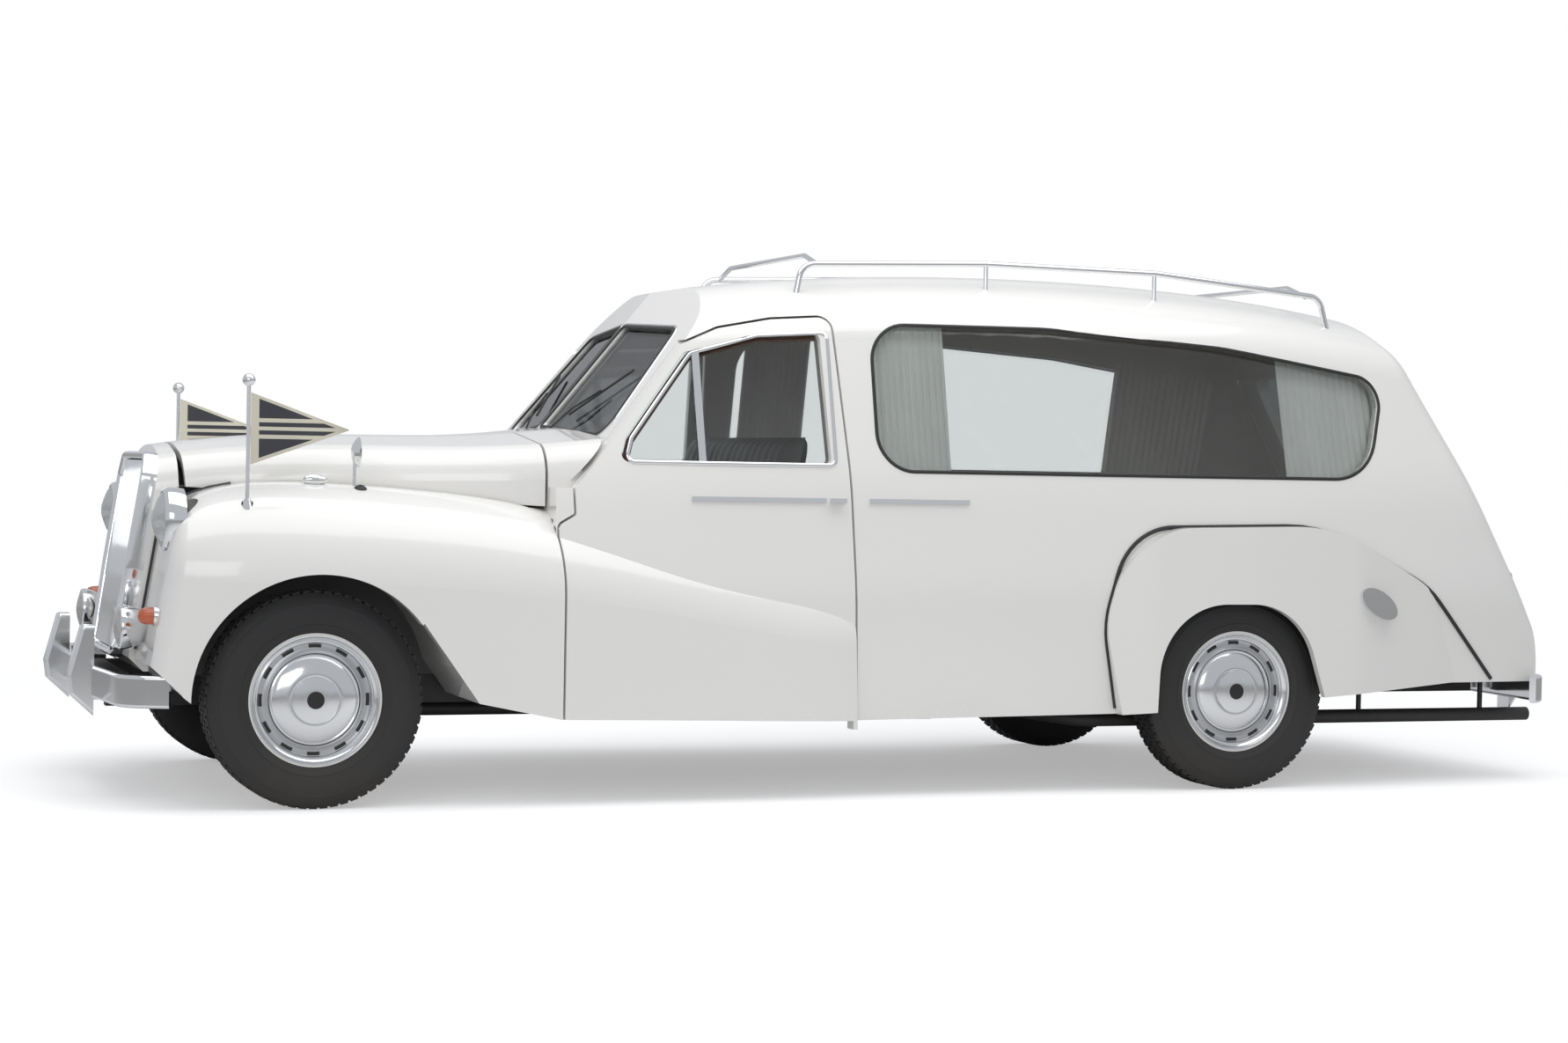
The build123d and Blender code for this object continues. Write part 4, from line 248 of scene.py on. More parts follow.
def surface(
    name, colour, rough, metal=0.0, grime=0.3, dirt=(0.20, 0.17, 0.13), grain=60.0, bump=0.03, vary=0.12,
    height=0.55, **shader_values,
):
    """A weathered surface with its own colour, roughness and shader settings."""
    if name in bpy.data.materials:
        return bpy.data.materials[name]
    material, tree, shader = new_material(name)
    coords = tree.nodes.new("ShaderNodeTexCoord")
    weather = tree.nodes.new("ShaderNodeGroup")
    weather.node_tree = weather_group()
    tree.links.new(coords.outputs["Object"], weather.inputs["Vector"])
    weather.inputs["Grain"].default_value = grain
    weather.inputs["Bump"].default_value = bump
    weather.inputs["Grime height"].default_value = height
    dirty = maths(tree, "MULTIPLY", weather.outputs["Grime"], grime, True)
    tree.links.new(mix_colour(tree, dirty, colour, dirt), shader.inputs["Base Color"])
    spread = maths(tree, "MULTIPLY", weather.outputs["Mottle"], vary)
    base = maths(tree, "ADD", spread, rough)
    tree.links.new(maths(tree, "ADD", base, dirty, True), shader.inputs["Roughness"])
    tree.links.new(weather.outputs["Normal"], shader.inputs["Normal"])
    shader.inputs["Metallic"].default_value = metal
    for label, value in shader_values.items():
        shader.inputs[label.replace("_", " ")].default_value = value
    return material


def paint():
    colour = tuple(bpy.context.scene.hearse_finish.paint_colour)
    return surface(
        "White coach paint", colour, 0.22, grime=0.22, grain=220.0, bump=0.012, vary=0.08,
        Coat_Weight=0.8, Coat_Roughness=0.04,
    )


def chrome():
    return surface(
        "Chrome plate", (0.80, 0.81, 0.82), 0.05, 1.0, grime=0.25, grain=90.0, bump=0.01, vary=0.10,
    )


def rubber():
    return surface("Black rubber", (0.018, 0.018, 0.018), 0.48, grime=0.2, grain=180.0, bump=0.08)


def tyre_rubber():
    return surface(
        "Tyre rubber", (0.013, 0.013, 0.014), 0.55, grime=0.25, grain=160.0, bump=0.10, height=0.8,
    )


def chassis_black():
    return surface("Chassis black", (0.016, 0.016, 0.017), 0.45, grime=0.5, grain=90.0, bump=0.08)


def window_glass():
    """Thin grey glass that lets the light through."""
    name = "Window glass"
    if name in bpy.data.materials:
        return bpy.data.materials[name]
    material, tree, shader = new_material(name)
    coords = tree.nodes.new("ShaderNodeTexCoord")
    film = noise(tree, coords.outputs["Object"], 6.0, 4.0)
    tree.links.new(maths(tree, "MULTIPLY", film, 0.03), shader.inputs["Roughness"])
    shader.inputs["Base Color"].default_value = (0.90, 0.94, 0.93, 1.0)
    shader.inputs["Transmission Weight"].default_value = 1.0
    shader.inputs["IOR"].default_value = 1.02
    shader.inputs["Specular IOR Level"].default_value = 0.5
    clear = tree.nodes.new("ShaderNodeBsdfTransparent")
    clear.inputs["Color"].default_value = (0.94, 0.955, 0.95, 1.0)
    gloss = tree.nodes.new("ShaderNodeBsdfGlossy")
    gloss.inputs["Roughness"].default_value = 0.02
    facing = tree.nodes.new("ShaderNodeFresnel")
    facing.inputs["IOR"].default_value = 1.45
    blend = tree.nodes.new("ShaderNodeMixShader")
    tree.links.new(facing.outputs[0], blend.inputs[0])
    tree.links.new(clear.outputs[0], blend.inputs[1])
    tree.links.new(gloss.outputs[0], blend.inputs[2])
    through = tree.nodes.new("ShaderNodeMixShader")
    through.inputs[0].default_value = 0.92
    tree.links.new(shader.outputs[0], through.inputs[1])
    tree.links.new(blend.outputs[0], through.inputs[2])
    tree.links.new(through.outputs[0], tree.nodes["Material Output"].inputs["Surface"])
    return material


def lens_glass(name, colour, depth):
    """Lamp glass with fine upright flutes."""
    if name in bpy.data.materials:
        return bpy.data.materials[name]
    material, tree, shader = new_material(name)
    coords = tree.nodes.new("ShaderNodeTexCoord")
    split = tree.nodes.new("ShaderNodeSeparateXYZ")
    tree.links.new(coords.outputs["Object"], split.inputs[0])
    flutes = maths(tree, "SINE", maths(tree, "MULTIPLY", split.outputs["Y"], 700.0), None)
    rows = maths(tree, "SINE", maths(tree, "MULTIPLY", split.outputs["Z"], 260.0), None)
    bump = tree.nodes.new("ShaderNodeBump")
    bump.inputs["Strength"].default_value = depth
    bump.inputs["Distance"].default_value = 0.003
    tree.links.new(maths(tree, "ADD", flutes, maths(tree, "MULTIPLY", rows, 0.4)), bump.inputs["Height"])
    tree.links.new(bump.outputs["Normal"], shader.inputs["Normal"])
    shade = noise(tree, coords.outputs["Object"], 30.0, 3.0)
    streaks = maths(tree, "MULTIPLY", shade, 0.2)
    tree.links.new(mix_colour(tree, streaks, colour, (0.5, 0.5, 0.5)), shader.inputs["Base Color"])
    shader.inputs["Roughness"].default_value = 0.08
    shader.inputs["Transmission Weight"].default_value = 0.55
    shader.inputs["Coat Weight"].default_value = 0.5
    return material


def cloth(name, colour, weave):
    """Woven cloth with thread bump."""
    if name in bpy.data.materials:
        return bpy.data.materials[name]
    material, tree, shader = new_material(name)
    uv = tree.nodes.new("ShaderNodeUVMap")
    split = tree.nodes.new("ShaderNodeSeparateXYZ")
    tree.links.new(uv.outputs["UV"], split.inputs[0])
    warp = maths(tree, "SINE", maths(tree, "MULTIPLY", split.outputs["X"], weave), None)
    weft = maths(tree, "SINE", maths(tree, "MULTIPLY", split.outputs["Y"], weave), None)
    bump = tree.nodes.new("ShaderNodeBump")
    bump.inputs["Strength"].default_value = 0.15
    bump.inputs["Distance"].default_value = 0.001
    tree.links.new(maths(tree, "MULTIPLY", warp, weft), bump.inputs["Height"])
    tree.links.new(bump.outputs["Normal"], shader.inputs["Normal"])
    fade = noise(tree, uv.outputs["UV"], 5.0, 4.0)
    darker = tuple(0.82 * c for c in colour)
    tree.links.new(mix_colour(tree, fade, colour, darker), shader.inputs["Base Color"])
    shader.inputs["Roughness"].default_value = 0.85
    shader.inputs["Sheen Weight"].default_value = 0.25
    return material


def wood(name, colour):
    """Varnished wood with a long grain."""
    if name in bpy.data.materials:
        return bpy.data.materials[name]
    material, tree, shader = new_material(name)
    coords = tree.nodes.new("ShaderNodeTexCoord")
    stretch = tree.nodes.new("ShaderNodeMapping")
    stretch.inputs["Scale"].default_value = (1.5, 22.0, 22.0)
    tree.links.new(coords.outputs["Object"], stretch.inputs["Vector"])
    grain = noise(tree, stretch.outputs[0], 4.0, 8.0, 0.65)
    darker = tuple(0.35 * c for c in colour)
    tree.links.new(mix_colour(tree, grain, colour, darker), shader.inputs["Base Color"])
    tree.links.new(maths(tree, "MULTIPLY_ADD", grain, 0.2), shader.inputs["Roughness"])
    shader.inputs["Coat Weight"].default_value = 0.4
    return material


def leather():
    return surface("Grey leather", (0.115, 0.112, 0.108), 0.42, grime=0.0, grain=260.0, bump=0.12)


# Meshes

def new_piece(name, bm, materials, angle=35.0):
    """A finished piece from a mesh in the row frame, smooth but for its sharp edges."""
    bmesh.ops.recalc_face_normals(bm, faces=bm.faces)
    mesh = bpy.data.meshes.new(name)
    bm.to_mesh(mesh)
    bm.free()
    for material in materials:
        mesh.materials.append(material)
    mesh.shade_smooth()
    mesh.set_sharp_from_angle(angle=radians(angle))
    obj = bpy.data.objects.new(name, mesh)
    bpy.context.scene.collection.objects.link(obj)
    return obj


def lathe(bm, profile, centre, axis, start, steps, material=0):
    """Spins (out along the axis, radius) points round the axis; start is the first radius's way."""
    before = set(bm.faces)
    verts = [bm.verts.new(centre + axis * a + start * r) for a, r in profile]
    edges = [bm.edges.new(pair) for pair in zip(verts, verts[1:])]
    bmesh.ops.spin(
        bm, geom=verts + edges, cent=centre, axis=axis, angle=2 * pi, steps=steps, use_merge=True,
    )
    bmesh.ops.remove_doubles(bm, verts=bm.verts, dist=1e-6)
    for face in bm.faces:
        if face not in before:
            face.material_index = material
    return bm


def block(bm, centre, size, turn=None, bevel=0.0, segments=2, material=0):
    """A box, turned and with its edges rounded."""
    made = bmesh.ops.create_cube(bm, size=1.0)["verts"]
    bmesh.ops.scale(bm, vec=size, verts=made)
    if bevel:
        edges = {e for v in made for e in v.link_edges}
        made = bmesh.ops.bevel(
            bm, geom=list(edges), offset=bevel, segments=segments, profile=0.5, affect="EDGES",
            material=-1,
        )["verts"] + [v for v in made if v.is_valid]
    made = list({v for v in made if v.is_valid})
    if turn is not None:
        bmesh.ops.transform(bm, matrix=turn.to_4x4(), verts=made)
    bmesh.ops.translate(bm, vec=centre, verts=made)
    for face in {f for v in made for f in v.link_faces}:
        face.material_index = material
    return made


def cloth_mesh(lines):
    """A mesh from lines of (place, map place) points with their map, and its area."""
    bm = bmesh.new()
    layer = bm.loops.layers.uv.new("UVMap")
    grid = [[(bm.verts.new(place), spot) for place, spot in line] for line in lines]
    area = 0.0
    for first, second in zip(grid, grid[1:]):
        for j in range(len(first) - 1):
            corners = (first[j], second[j], second[j + 1], first[j + 1])
            face = bm.faces.new([vert for vert, _ in corners])
            area += face.calc_area()
            for loop, (_, spot) in zip(face.loops, corners):
                loop[layer].uv = spot
    return bm, area


def rounded(points, rounds, closed=True, step=0.02):
    """A polygon's points with its corners turned on arcs and long runs divided."""
    result = []
    count = len(points)
    for i, point in enumerate(points):
        radius = rounds[i] if isinstance(rounds, (list, tuple)) else rounds
        ends = not closed and i in (0, count - 1)
        before, after = points[i - 1], points[(i + 1) % count]
        to_before, to_after = before - point, after - point
        if ends or radius <= 0.0:
            result.append(point.copy())
            continue
        u, v = to_before.normalized(), to_after.normalized()
        angle = acos(max(-1.0, min(1.0, u.dot(v))))
        reach = min(radius / tan(angle / 2), 0.49 * to_before.length, 0.49 * to_after.length)
        radius = reach * tan(angle / 2)
        centre = point + (u + v).normalized() * (radius / sin(angle / 2))
        a, b = point + u * reach, point + v * reach
        steps = max(3, int(ceil((pi - angle) / radians(7))))
        for k in range(steps + 1):
            t = k / steps
            way = (a - centre) * (1 - t) + (b - centre) * t
            result.append(centre + way.normalized() * radius)
    dense = []
    runs = len(result) if closed else len(result) - 1
    for i in range(runs):
        a, b = result[i], result[(i + 1) % len(result)]
        parts = max(1, int((b - a).length / step))
        dense += [a + (b - a) * (k / parts) for k in range(parts)]
    if not closed:
        dense.append(result[-1])
    return dense


def tube(bm, points, radius, sides=10, closed=False, flat=1.0, out=None, material=0):
    """A tube along points; flat squashes it along the way that out gives for each point."""
    rings = []
    count = len(points)
    normal = None
    for i, point in enumerate(points):
        after = points[(i + 1) % count] if closed or i < count - 1 else points[i]
        before = points[i - 1] if closed or i > 0 else points[i]
        ahead = (after - before).normalized()
        if out is not None:
            normal = out[i] - ahead * out[i].dot(ahead)
        elif normal is None:
            helper = Vector((0, 0, 1)) if abs(ahead.z) < 0.9 else Vector((0, 1, 0))
            normal = helper - ahead * helper.dot(ahead)
        else:
            normal = normal - ahead * normal.dot(ahead)
        normal = normal.normalized()
        across = ahead.cross(normal)
        rings.append([
            bm.verts.new(point + (normal * cos(t) * flat + across * sin(t)) * radius)
            for t in (2 * pi * k / sides for k in range(sides))
        ])
    pairs = list(zip(rings, rings[1:])) + ([(rings[-1], rings[0])] if closed else [])
    for a, b in pairs:
        for k in range(sides):
            face = bm.faces.new((a[k], a[(k + 1) % sides], b[(k + 1) % sides], b[k]))
            face.material_index = material
    if not closed:
        for ring in (rings[0], rings[-1]):
            face = bm.faces.new(ring)
            face.material_index = material


def skin(name):
    """A tree of a CAD node's surface, to find a place on it."""
    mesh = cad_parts[name].data
    verts = [v.co.copy() for v in mesh.vertices]
    return BVHTree.FromPolygons(verts, [tuple(p.vertices) for p in mesh.polygons])


# Where rays at the body's side start, how near the middle a hit may lie, and how far out they look
OUTSIDE = 2.0
INNERMOST = 0.5
PROBES = (0.0, 0.012, 0.03, 0.06)


def on_side(tree, x, z, side):
    """The point on the body's side at a place along and up, and the way out of it."""
    hit, normal, _, _ = tree.ray_cast(Vector((x, side * OUTSIDE, z)), Vector((0, -side, 0)))
    if hit is None:
        return None
    if normal.y * side < 0:
        normal = -normal
    return hit, normal


def traced(tree, points, side, lift, nudge=0.0):
    """Surface points under a side view line, taken a little outside it."""
    middle = sum(points, Vector((0, 0))) / len(points)
    result, ways = [], []
    last = None
    for point in points:
        outward = (point - middle).normalized()
        found = None
        for extra in PROBES:
            probe = point + outward * (nudge + extra)
            found = on_side(tree, probe.x, probe.y, side)
            if found and abs(found[0].y) > INNERMOST:
                break
            found = None
        if found is None:
            if last is None:
                continue
            found = last
        last = found
        place = Vector((point.x, found[0].y, point.y)) + found[1] * lift
        result.append(place)
        ways.append(found[1])
    return result, ways


def wheel_frame(x, y, side):
    """A wheel's centre, the way outwards along its axle, and the way up."""
    return Vector((x, side * y, HUB)), Vector((0, side, 0)), Vector((0, 0, 1))


# Turned profiles of tyre and wheel: distance out along the axle, radius
TYRE_PROFILE = (
    (-0.068, 0.2065), (-0.078, 0.212), (-0.0868, 0.240), (-0.0900, 0.268), (-0.0898, 0.290),
    (-0.0862, 0.312), (-0.0800, 0.330), (-0.0745, 0.3385), (-0.0715, 0.3445), (-0.0680, 0.3495),
    (-0.0440, 0.3505), (-0.0425, 0.3465), (-0.0375, 0.3465), (-0.0360, 0.3510), (-0.0150, 0.3515),
    (-0.0135, 0.3470), (-0.0085, 0.3470), (-0.0070, 0.3518), (0.0070, 0.3518), (0.0085, 0.3470),
    (0.0135, 0.3470), (0.0150, 0.3515), (0.0360, 0.3510), (0.0375, 0.3465), (0.0425, 0.3465),
    (0.0440, 0.3505), (0.0680, 0.3495), (0.0715, 0.3445), (0.0745, 0.3385), (0.0800, 0.330),
    (0.0848, 0.3155), (0.0862, 0.3150), (0.0868, 0.3110), (0.0862, 0.3100), (0.0898, 0.290),
    (0.0900, 0.268), (0.0880, 0.2480), (0.0892, 0.2465), (0.0884, 0.2420), (0.0868, 0.240),
    (0.0790, 0.2240), (0.0765, 0.2230), (0.0720, 0.2140), (0.068, 0.2065), (0.0, 0.2062),
    (-0.068, 0.2065),
)
# Rows of tread blocks: place across, width, share of a block turned on
TREAD_ROWS = (
    (-0.0560, 0.020, 0.0), (-0.0255, 0.0175, 0.5), (0.0, 0.0120, 0.0), (0.0255, 0.0175, 0.5),
    (0.0560, 0.020, 0.0),
)
TREAD_RADIUS = 0.353
BLOCK_RADIUS = 0.3527
BLOCK_HEIGHT = 0.0068
BLOCK_SHARE = 0.74
BLOCK_BEVEL = 0.0009
BLOCK_SKEW = radians(12)
DRUM = ((-0.048, 0.024), (-0.048, 0.158), (-0.043, 0.165), (0.020, 0.165), (0.020, 0.150))
RIM = (
    (-0.070, 0.2055), (-0.070, 0.2010), (-0.030, 0.1990), (-0.020, 0.1900), (0.030, 0.1900),
    (0.036, 0.1990), (0.064, 0.2010), (0.068, 0.2045), (0.072, 0.2090), (0.0745, 0.2180),
    (0.0735, 0.2215), (0.0700, 0.2205), (0.0690, 0.2120), (0.0660, 0.2055),
)
TRIM_RING = (
    (0.0705, 0.2150), (0.0745, 0.2120), (0.0740, 0.2075), (0.0690, 0.2045), (0.0640, 0.2000),
    (0.0610, 0.1955), (0.0625, 0.1925), (0.0620, 0.1895), (0.0570, 0.1860), (0.0530, 0.1845),
    (0.0500, 0.1850), (0.0500, 0.1900), (0.0560, 0.1975), (0.0660, 0.2070),
)
DISC = (
    (0.0500, 0.1870), (0.0470, 0.1830), (0.0450, 0.1740), (0.0480, 0.1640), (0.0530, 0.1560),
    (0.0520, 0.1520), (0.0460, 0.1500), (0.0300, 0.1500), (0.0220, 0.1600), (0.0400, 0.1850),
)
CAP = (
    (0.0400, 0.1490), (0.0490, 0.1500), (0.0535, 0.1470), (0.0550, 0.1430), (0.0540, 0.1400),
    (0.0565, 0.1370), (0.0640, 0.1180), (0.0690, 0.0960), (0.0720, 0.0800), (0.0715, 0.0785),
    (0.0735, 0.0770), (0.0770, 0.0520), (0.0785, 0.0290), (0.0785, 0.0275),
)
BADGE = ((0.0780, 0.0290), (0.0800, 0.0280), (0.0805, 0.0240), (0.0808, 0.0000))
VENT_OUT = 0.0462
VENT_RADIUS = 0.1768
VENT_HALF_TURN = 0.115
VENT_THICKNESS = 0.0062

# Turned profiles of the lamps: distance ahead, radius; the headlamp's glass ends in its bulge
HEADLAMP_RIM = (
    (-0.030, 0.1000), (-0.010, 0.1045), (0.012, 0.1048), (0.024, 0.1035), (0.034, 0.0985),
    (0.038, 0.0925), (0.0375, 0.0900), (0.0320, 0.0895), (0.0180, 0.0900),
)
HEADLAMP_GLASS_EDGE = ((0.0330, 0.0897), (0.0390, 0.085))
HEADLAMP_GLASS_OUT = 0.040
HEADLAMP_BULGE = ((0.30, 0.070), (0.65, 0.045), (0.93, 0.020), (1.0, 0.0))
REFLECTOR = ((0.020, 0.0890), (-0.010, 0.075), (-0.040, 0.050), (-0.055, 0.020), (-0.056, 0.0))
BULB = ((-0.020, 0.012), (0.014, 0.012), (0.018, 0.010), (0.018, 0.0))
FOG_LAMP_SHELL = (
    (-0.088, 0.0), (-0.086, 0.020), (-0.076, 0.040), (-0.052, 0.060), (-0.022, 0.0715),
    (-0.004, 0.0745), (0.006, 0.0735), (0.010, 0.0690), (0.008, 0.0660),
)
FOG_LAMP_GLASS = ((0.008, 0.0665), (0.014, 0.055), (0.020, 0.035), (0.024, 0.015), (0.0248, 0.0))
SIDE_LAMP_BASE = ((0.0, 0.0325), (0.010, 0.0325), (0.014, 0.0300), (0.014, 0.0))
SIDE_LAMP_LENS = ((0.013, 0.0290), (0.040, 0.0270), (0.052, 0.0230), (0.060, 0.0140), (0.0635, 0.0))
TAIL_LAMP_BASE = ((-0.060, 0.0395), (-0.018, 0.0395), (-0.014, 0.0370), (-0.015, 0.0340))
TAIL_LAMP_LENS = (
    (-0.015, 0.0345), (-0.008, 0.0330), (-0.002, 0.0240), (-0.0005, 0.0120), (-0.0005, 0.0),
)

# Radiator grille, in its own leaning directions: across, up its face, and back into it
GRILLE_LEAN = radians(9.0)
GRILLE_FOOT = FRONT_AXLE - 0.676
GRILLE_ROUND = 0.045
# Depth and distance in from the outline for each ring of the shell
GRILLE_RINGS = (
    (0.051, 0.000), (0.022, 0.000), (0.006, 0.004), (0.001, 0.011), (0.004, 0.019), (0.012, 0.025),
    (0.044, 0.027),
)
SLAT_DEPTH = 0.024
SLAT_IN = 0.026
SLAT_GAP = 0.003
SLAT_BEVEL = 0.0030
SLAT_MARGIN = 0.012
SHORTEST_SLAT = 0.05
GRILLE_BARS = (0.62, 0.86)
BAR_IN = 0.0425
BAR_RADIUS = 0.004

# Door cappings and the piping of rear wings and nose
CAPPING_IN = 0.034
CAPPING_RADIUS = 0.013
PIPING_RADIUS = 0.0075
NOSE_LEVELS = 40
NOSE_LOW = 0.50
NOSE_RISE = 0.60
NOSE_STEPS = 24
NOSE_INNER = 0.330
NOSE_STEP = 0.008
NOSE_LIFT = 0.002
NOSE_RADIUS = 0.006
AHEAD_OF_NOSE = -4.0

# Rubber feet under masts and mirrors: place along, place across, radius; and their shape as rise
# and share of that radius
FEET = ((MAST_X, MAST_Y, 0.019), (MIRROR_X, MIRROR_Y, 0.021))
FOOT_PROFILE = ((-0.004, 1.0), (0.002, 1.0), (0.005, 0.85), (0.010, 0.55), (0.011, 0.2))
ABOVE_WINGS = 1.6

# Pennants: heights of the hem, the head and the point, length, and distance off the mast's middle
PENNANT_LOW, PENNANT_HIGH, PENNANT_TIP = 1.119, 1.353, 1.237
PENNANT_REACH = 0.335
PENNANT_MARGIN = 0.010
PENNANT_OFF_MAST = 0.0075
PENNANT_END = 0.985

# Bench seat
BACK_THICKNESS = 0.128
BACK_MIDDLE = 0.066
BACK_LEAN = 0.110
PAD_MARGIN = 0.012
PLEATS = 18
PLEAT_DEPTH = 0.010
SEAM = 0.004

# Windscreen: foot and head of its middle, and how far it falls back for each metre across
SCREEN_FOOT = (along(0.233), 0.573 * ROOF)
SCREEN_HEAD = (along(0.441), 1.030 * ROOF)
SCREEN_SWEEP = 0.11
# The seal's two tubes: how far round the pane, radius, material
SCREEN_TUBES = ((0.004, 0.0075, 0), (0.014, 0.0035, 1))
WIPER_ARM = 0.0035
WIPER_BLADE = 0.0045
WIPER_KNOB = 0.014

# Stage: the lamps' places, aims and sizes, the camera's place and turns, and where the floor fades
KEY_PLACE, KEY_AIM, KEY_SIZE = (-0.3, -1.2, 4.6), (0.0, 0.0, 0.4), (7.5, 4.0)
FILL_PLACE, FILL_AIM, FILL_SIZE = (-5.0, -9.0, 3.2), (-0.3, 0.0, 0.8), (6.0, 3.0)
CAMERA = (FRONT_AXLE - 1.78977, -10.15312, 1.16455)
YAW, PITCH, ROLL = 0.3491236, -0.0210518, 0.0187362
SENSOR = 36.0
FLOOR_HALF = 40.0
FADE_START, FADE_LENGTH = 3.2, 3.5

# Settings

class HearseFinish(bpy.types.PropertyGroup):
    paint_colour: bpy.props.FloatVectorProperty(
        name="Paint colour", description="Colour of the body's paint", default=(0.80, 0.79, 0.76),
        subtype="COLOR",
    )
    seal_width: bpy.props.FloatProperty(
        name="Seal width", description="Width of the windows' rubber seals",
        default=0.013, unit="LENGTH",
    )


class HearseWheels(bpy.types.PropertyGroup):
    tread_blocks: bpy.props.IntProperty(
        name="Tread blocks", description="Blocks round each tyre in one row", default=64, min=24, max=96,
    )
    steps: bpy.props.IntProperty(
        name="Steps round", description="Faces round a tyre or wheel", default=96, min=32, max=160,
    )
    vents: bpy.props.IntProperty(
        name="Vents", description="Dark slots round each wheel", default=12, min=4, max=20,
    )


class HearseFront(bpy.types.PropertyGroup):
    slats: bpy.props.IntProperty(
        name="Slats", description="Upright slats of the radiator grille", default=27, min=9, max=41,
    )
    slat_width: bpy.props.FloatProperty(
        name="Slat width", description="Width of one slat", default=0.0095, unit="LENGTH",
    )
    lens_bulge: bpy.props.FloatProperty(
        name="Lens bulge", description="How far the headlamps' glass bulges",
        default=0.030, unit="LENGTH",
    )


class HearseCloth(bpy.types.PropertyGroup):
    folds: bpy.props.IntProperty(
        name="Curtain folds", description="Folds across the front curtain", default=11, min=4, max=20,
    )
    fold_depth: bpy.props.FloatProperty(
        name="Fold depth", description="Depth of the curtains' folds", default=0.009, unit="LENGTH",
    )
    wave: bpy.props.FloatProperty(
        name="Pennant wave", description="How far the pennants wave sideways",
        default=0.004, unit="LENGTH",
    )


class HearseStage(bpy.types.PropertyGroup):
    key_power: bpy.props.FloatProperty(
        name="Key power", description="Power of the overhead lamp", default=165.0, unit="POWER",
    )
    fill_power: bpy.props.FloatProperty(
        name="Fill power", description="Power of the lamp beside the camera",
        default=105.0, unit="POWER",
    )
    lens: bpy.props.FloatProperty(
        name="Lens", description="Focal length of the camera", default=66.36, unit="CAMERA",
    )


# Operators

class HEARSE_OT_panels(bpy.types.Operator):
    """Gives the frame's own panels, running gear and bright work their finish"""
    bl_idname = "hearse.panels"
    bl_label = "Finish panels"

    def execute(self, context):
        floor_grey = surface("Floor grey", (0.09, 0.09, 0.09), 0.7, grime=0.3, bump=0.15)
        iron = surface("Engine iron", (0.10, 0.10, 0.11), 0.6, grime=0.3, bump=0.15)
        finishes = (
            (PAINTED, paint()),
            (BLACKENED, chassis_black()),
            (BRIGHT, chrome()),
            (GLAZED, window_glass()),
            (("floor_pan",), floor_grey),
            (("engine_block",), iron),
            (("seat_base",), leather()),
            (("dashboard", "partition"), wood("Walnut", (0.20, 0.075, 0.03))),
            (("load_deck",), wood("Deck boards", (0.30, 0.15, 0.07))),
            (("steering_wheel",), surface("Wheel black", (0.012, 0.012, 0.012), 0.25, grime=0.0)),
        )
        for nodes, material in finishes:
            for name in nodes:
                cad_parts[name].material_slots[0].material = material
        return {"FINISHED"}


class HEARSE_OT_tyres(bpy.types.Operator):
    """Builds the four tyres with tread blocks, sidewall ribs and bead"""
    bl_idname = "hearse.tyres"
    bl_label = "Build tyres"

    def execute(self, context):
        settings = context.scene.hearse_wheels
        for name, x, y, side in CORNERS:
            centre, axis, start = wheel_frame(x, y, side)
            bm = bmesh.new()
            lathe(bm, TYRE_PROFILE, centre, axis, start, settings.steps)
            blocks = settings.tread_blocks
            length = 2 * pi * TREAD_RADIUS / blocks
            for across, width, phase in TREAD_ROWS:
                for k in range(blocks):
                    angle = 2 * pi * (k + phase) / blocks
                    turn = Matrix.Rotation(angle, 3, axis)
                    place = centre + axis * across + turn @ (start * BLOCK_RADIUS)
                    skew = Matrix.Rotation(BLOCK_SKEW if across > 0 else -BLOCK_SKEW, 3, start)
                    size = Vector((BLOCK_SHARE * length, width, BLOCK_HEIGHT))
                    block(bm, place, size, turn @ skew, BLOCK_BEVEL, 1)
            tyre = new_piece("tyre_tread_" + name, bm, [tyre_rubber()])
            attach(tyre, "wheel_" + name + "_body")
            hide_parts("tyre_" + name)
        return {"FINISHED"}


def wheel_finishes():
    """The wheels' materials: trim and cap, drum, rim, disc, and one black for the vents, where it is
    painted shade in their slots, and for the badge.
    """
    return [
        surface(
            "Wheel bright", (0.74, 0.75, 0.76), 0.10, 1.0, grime=0.15, grain=120.0, bump=0.015,
        ),
        chassis_black(),
        surface("Rim cream", (0.72, 0.71, 0.67), 0.3, grime=0.2),
        surface("Wheel silver", (0.46, 0.47, 0.48), 0.28, 0.8, grime=0.2, grain=140.0),
        # Black for the vents, painted shade standing in for the dark inside of their openings, and the
        # badge's own black centre
        surface("Vent black", (0.01, 0.01, 0.01), 0.4, grime=0.1),
    ]


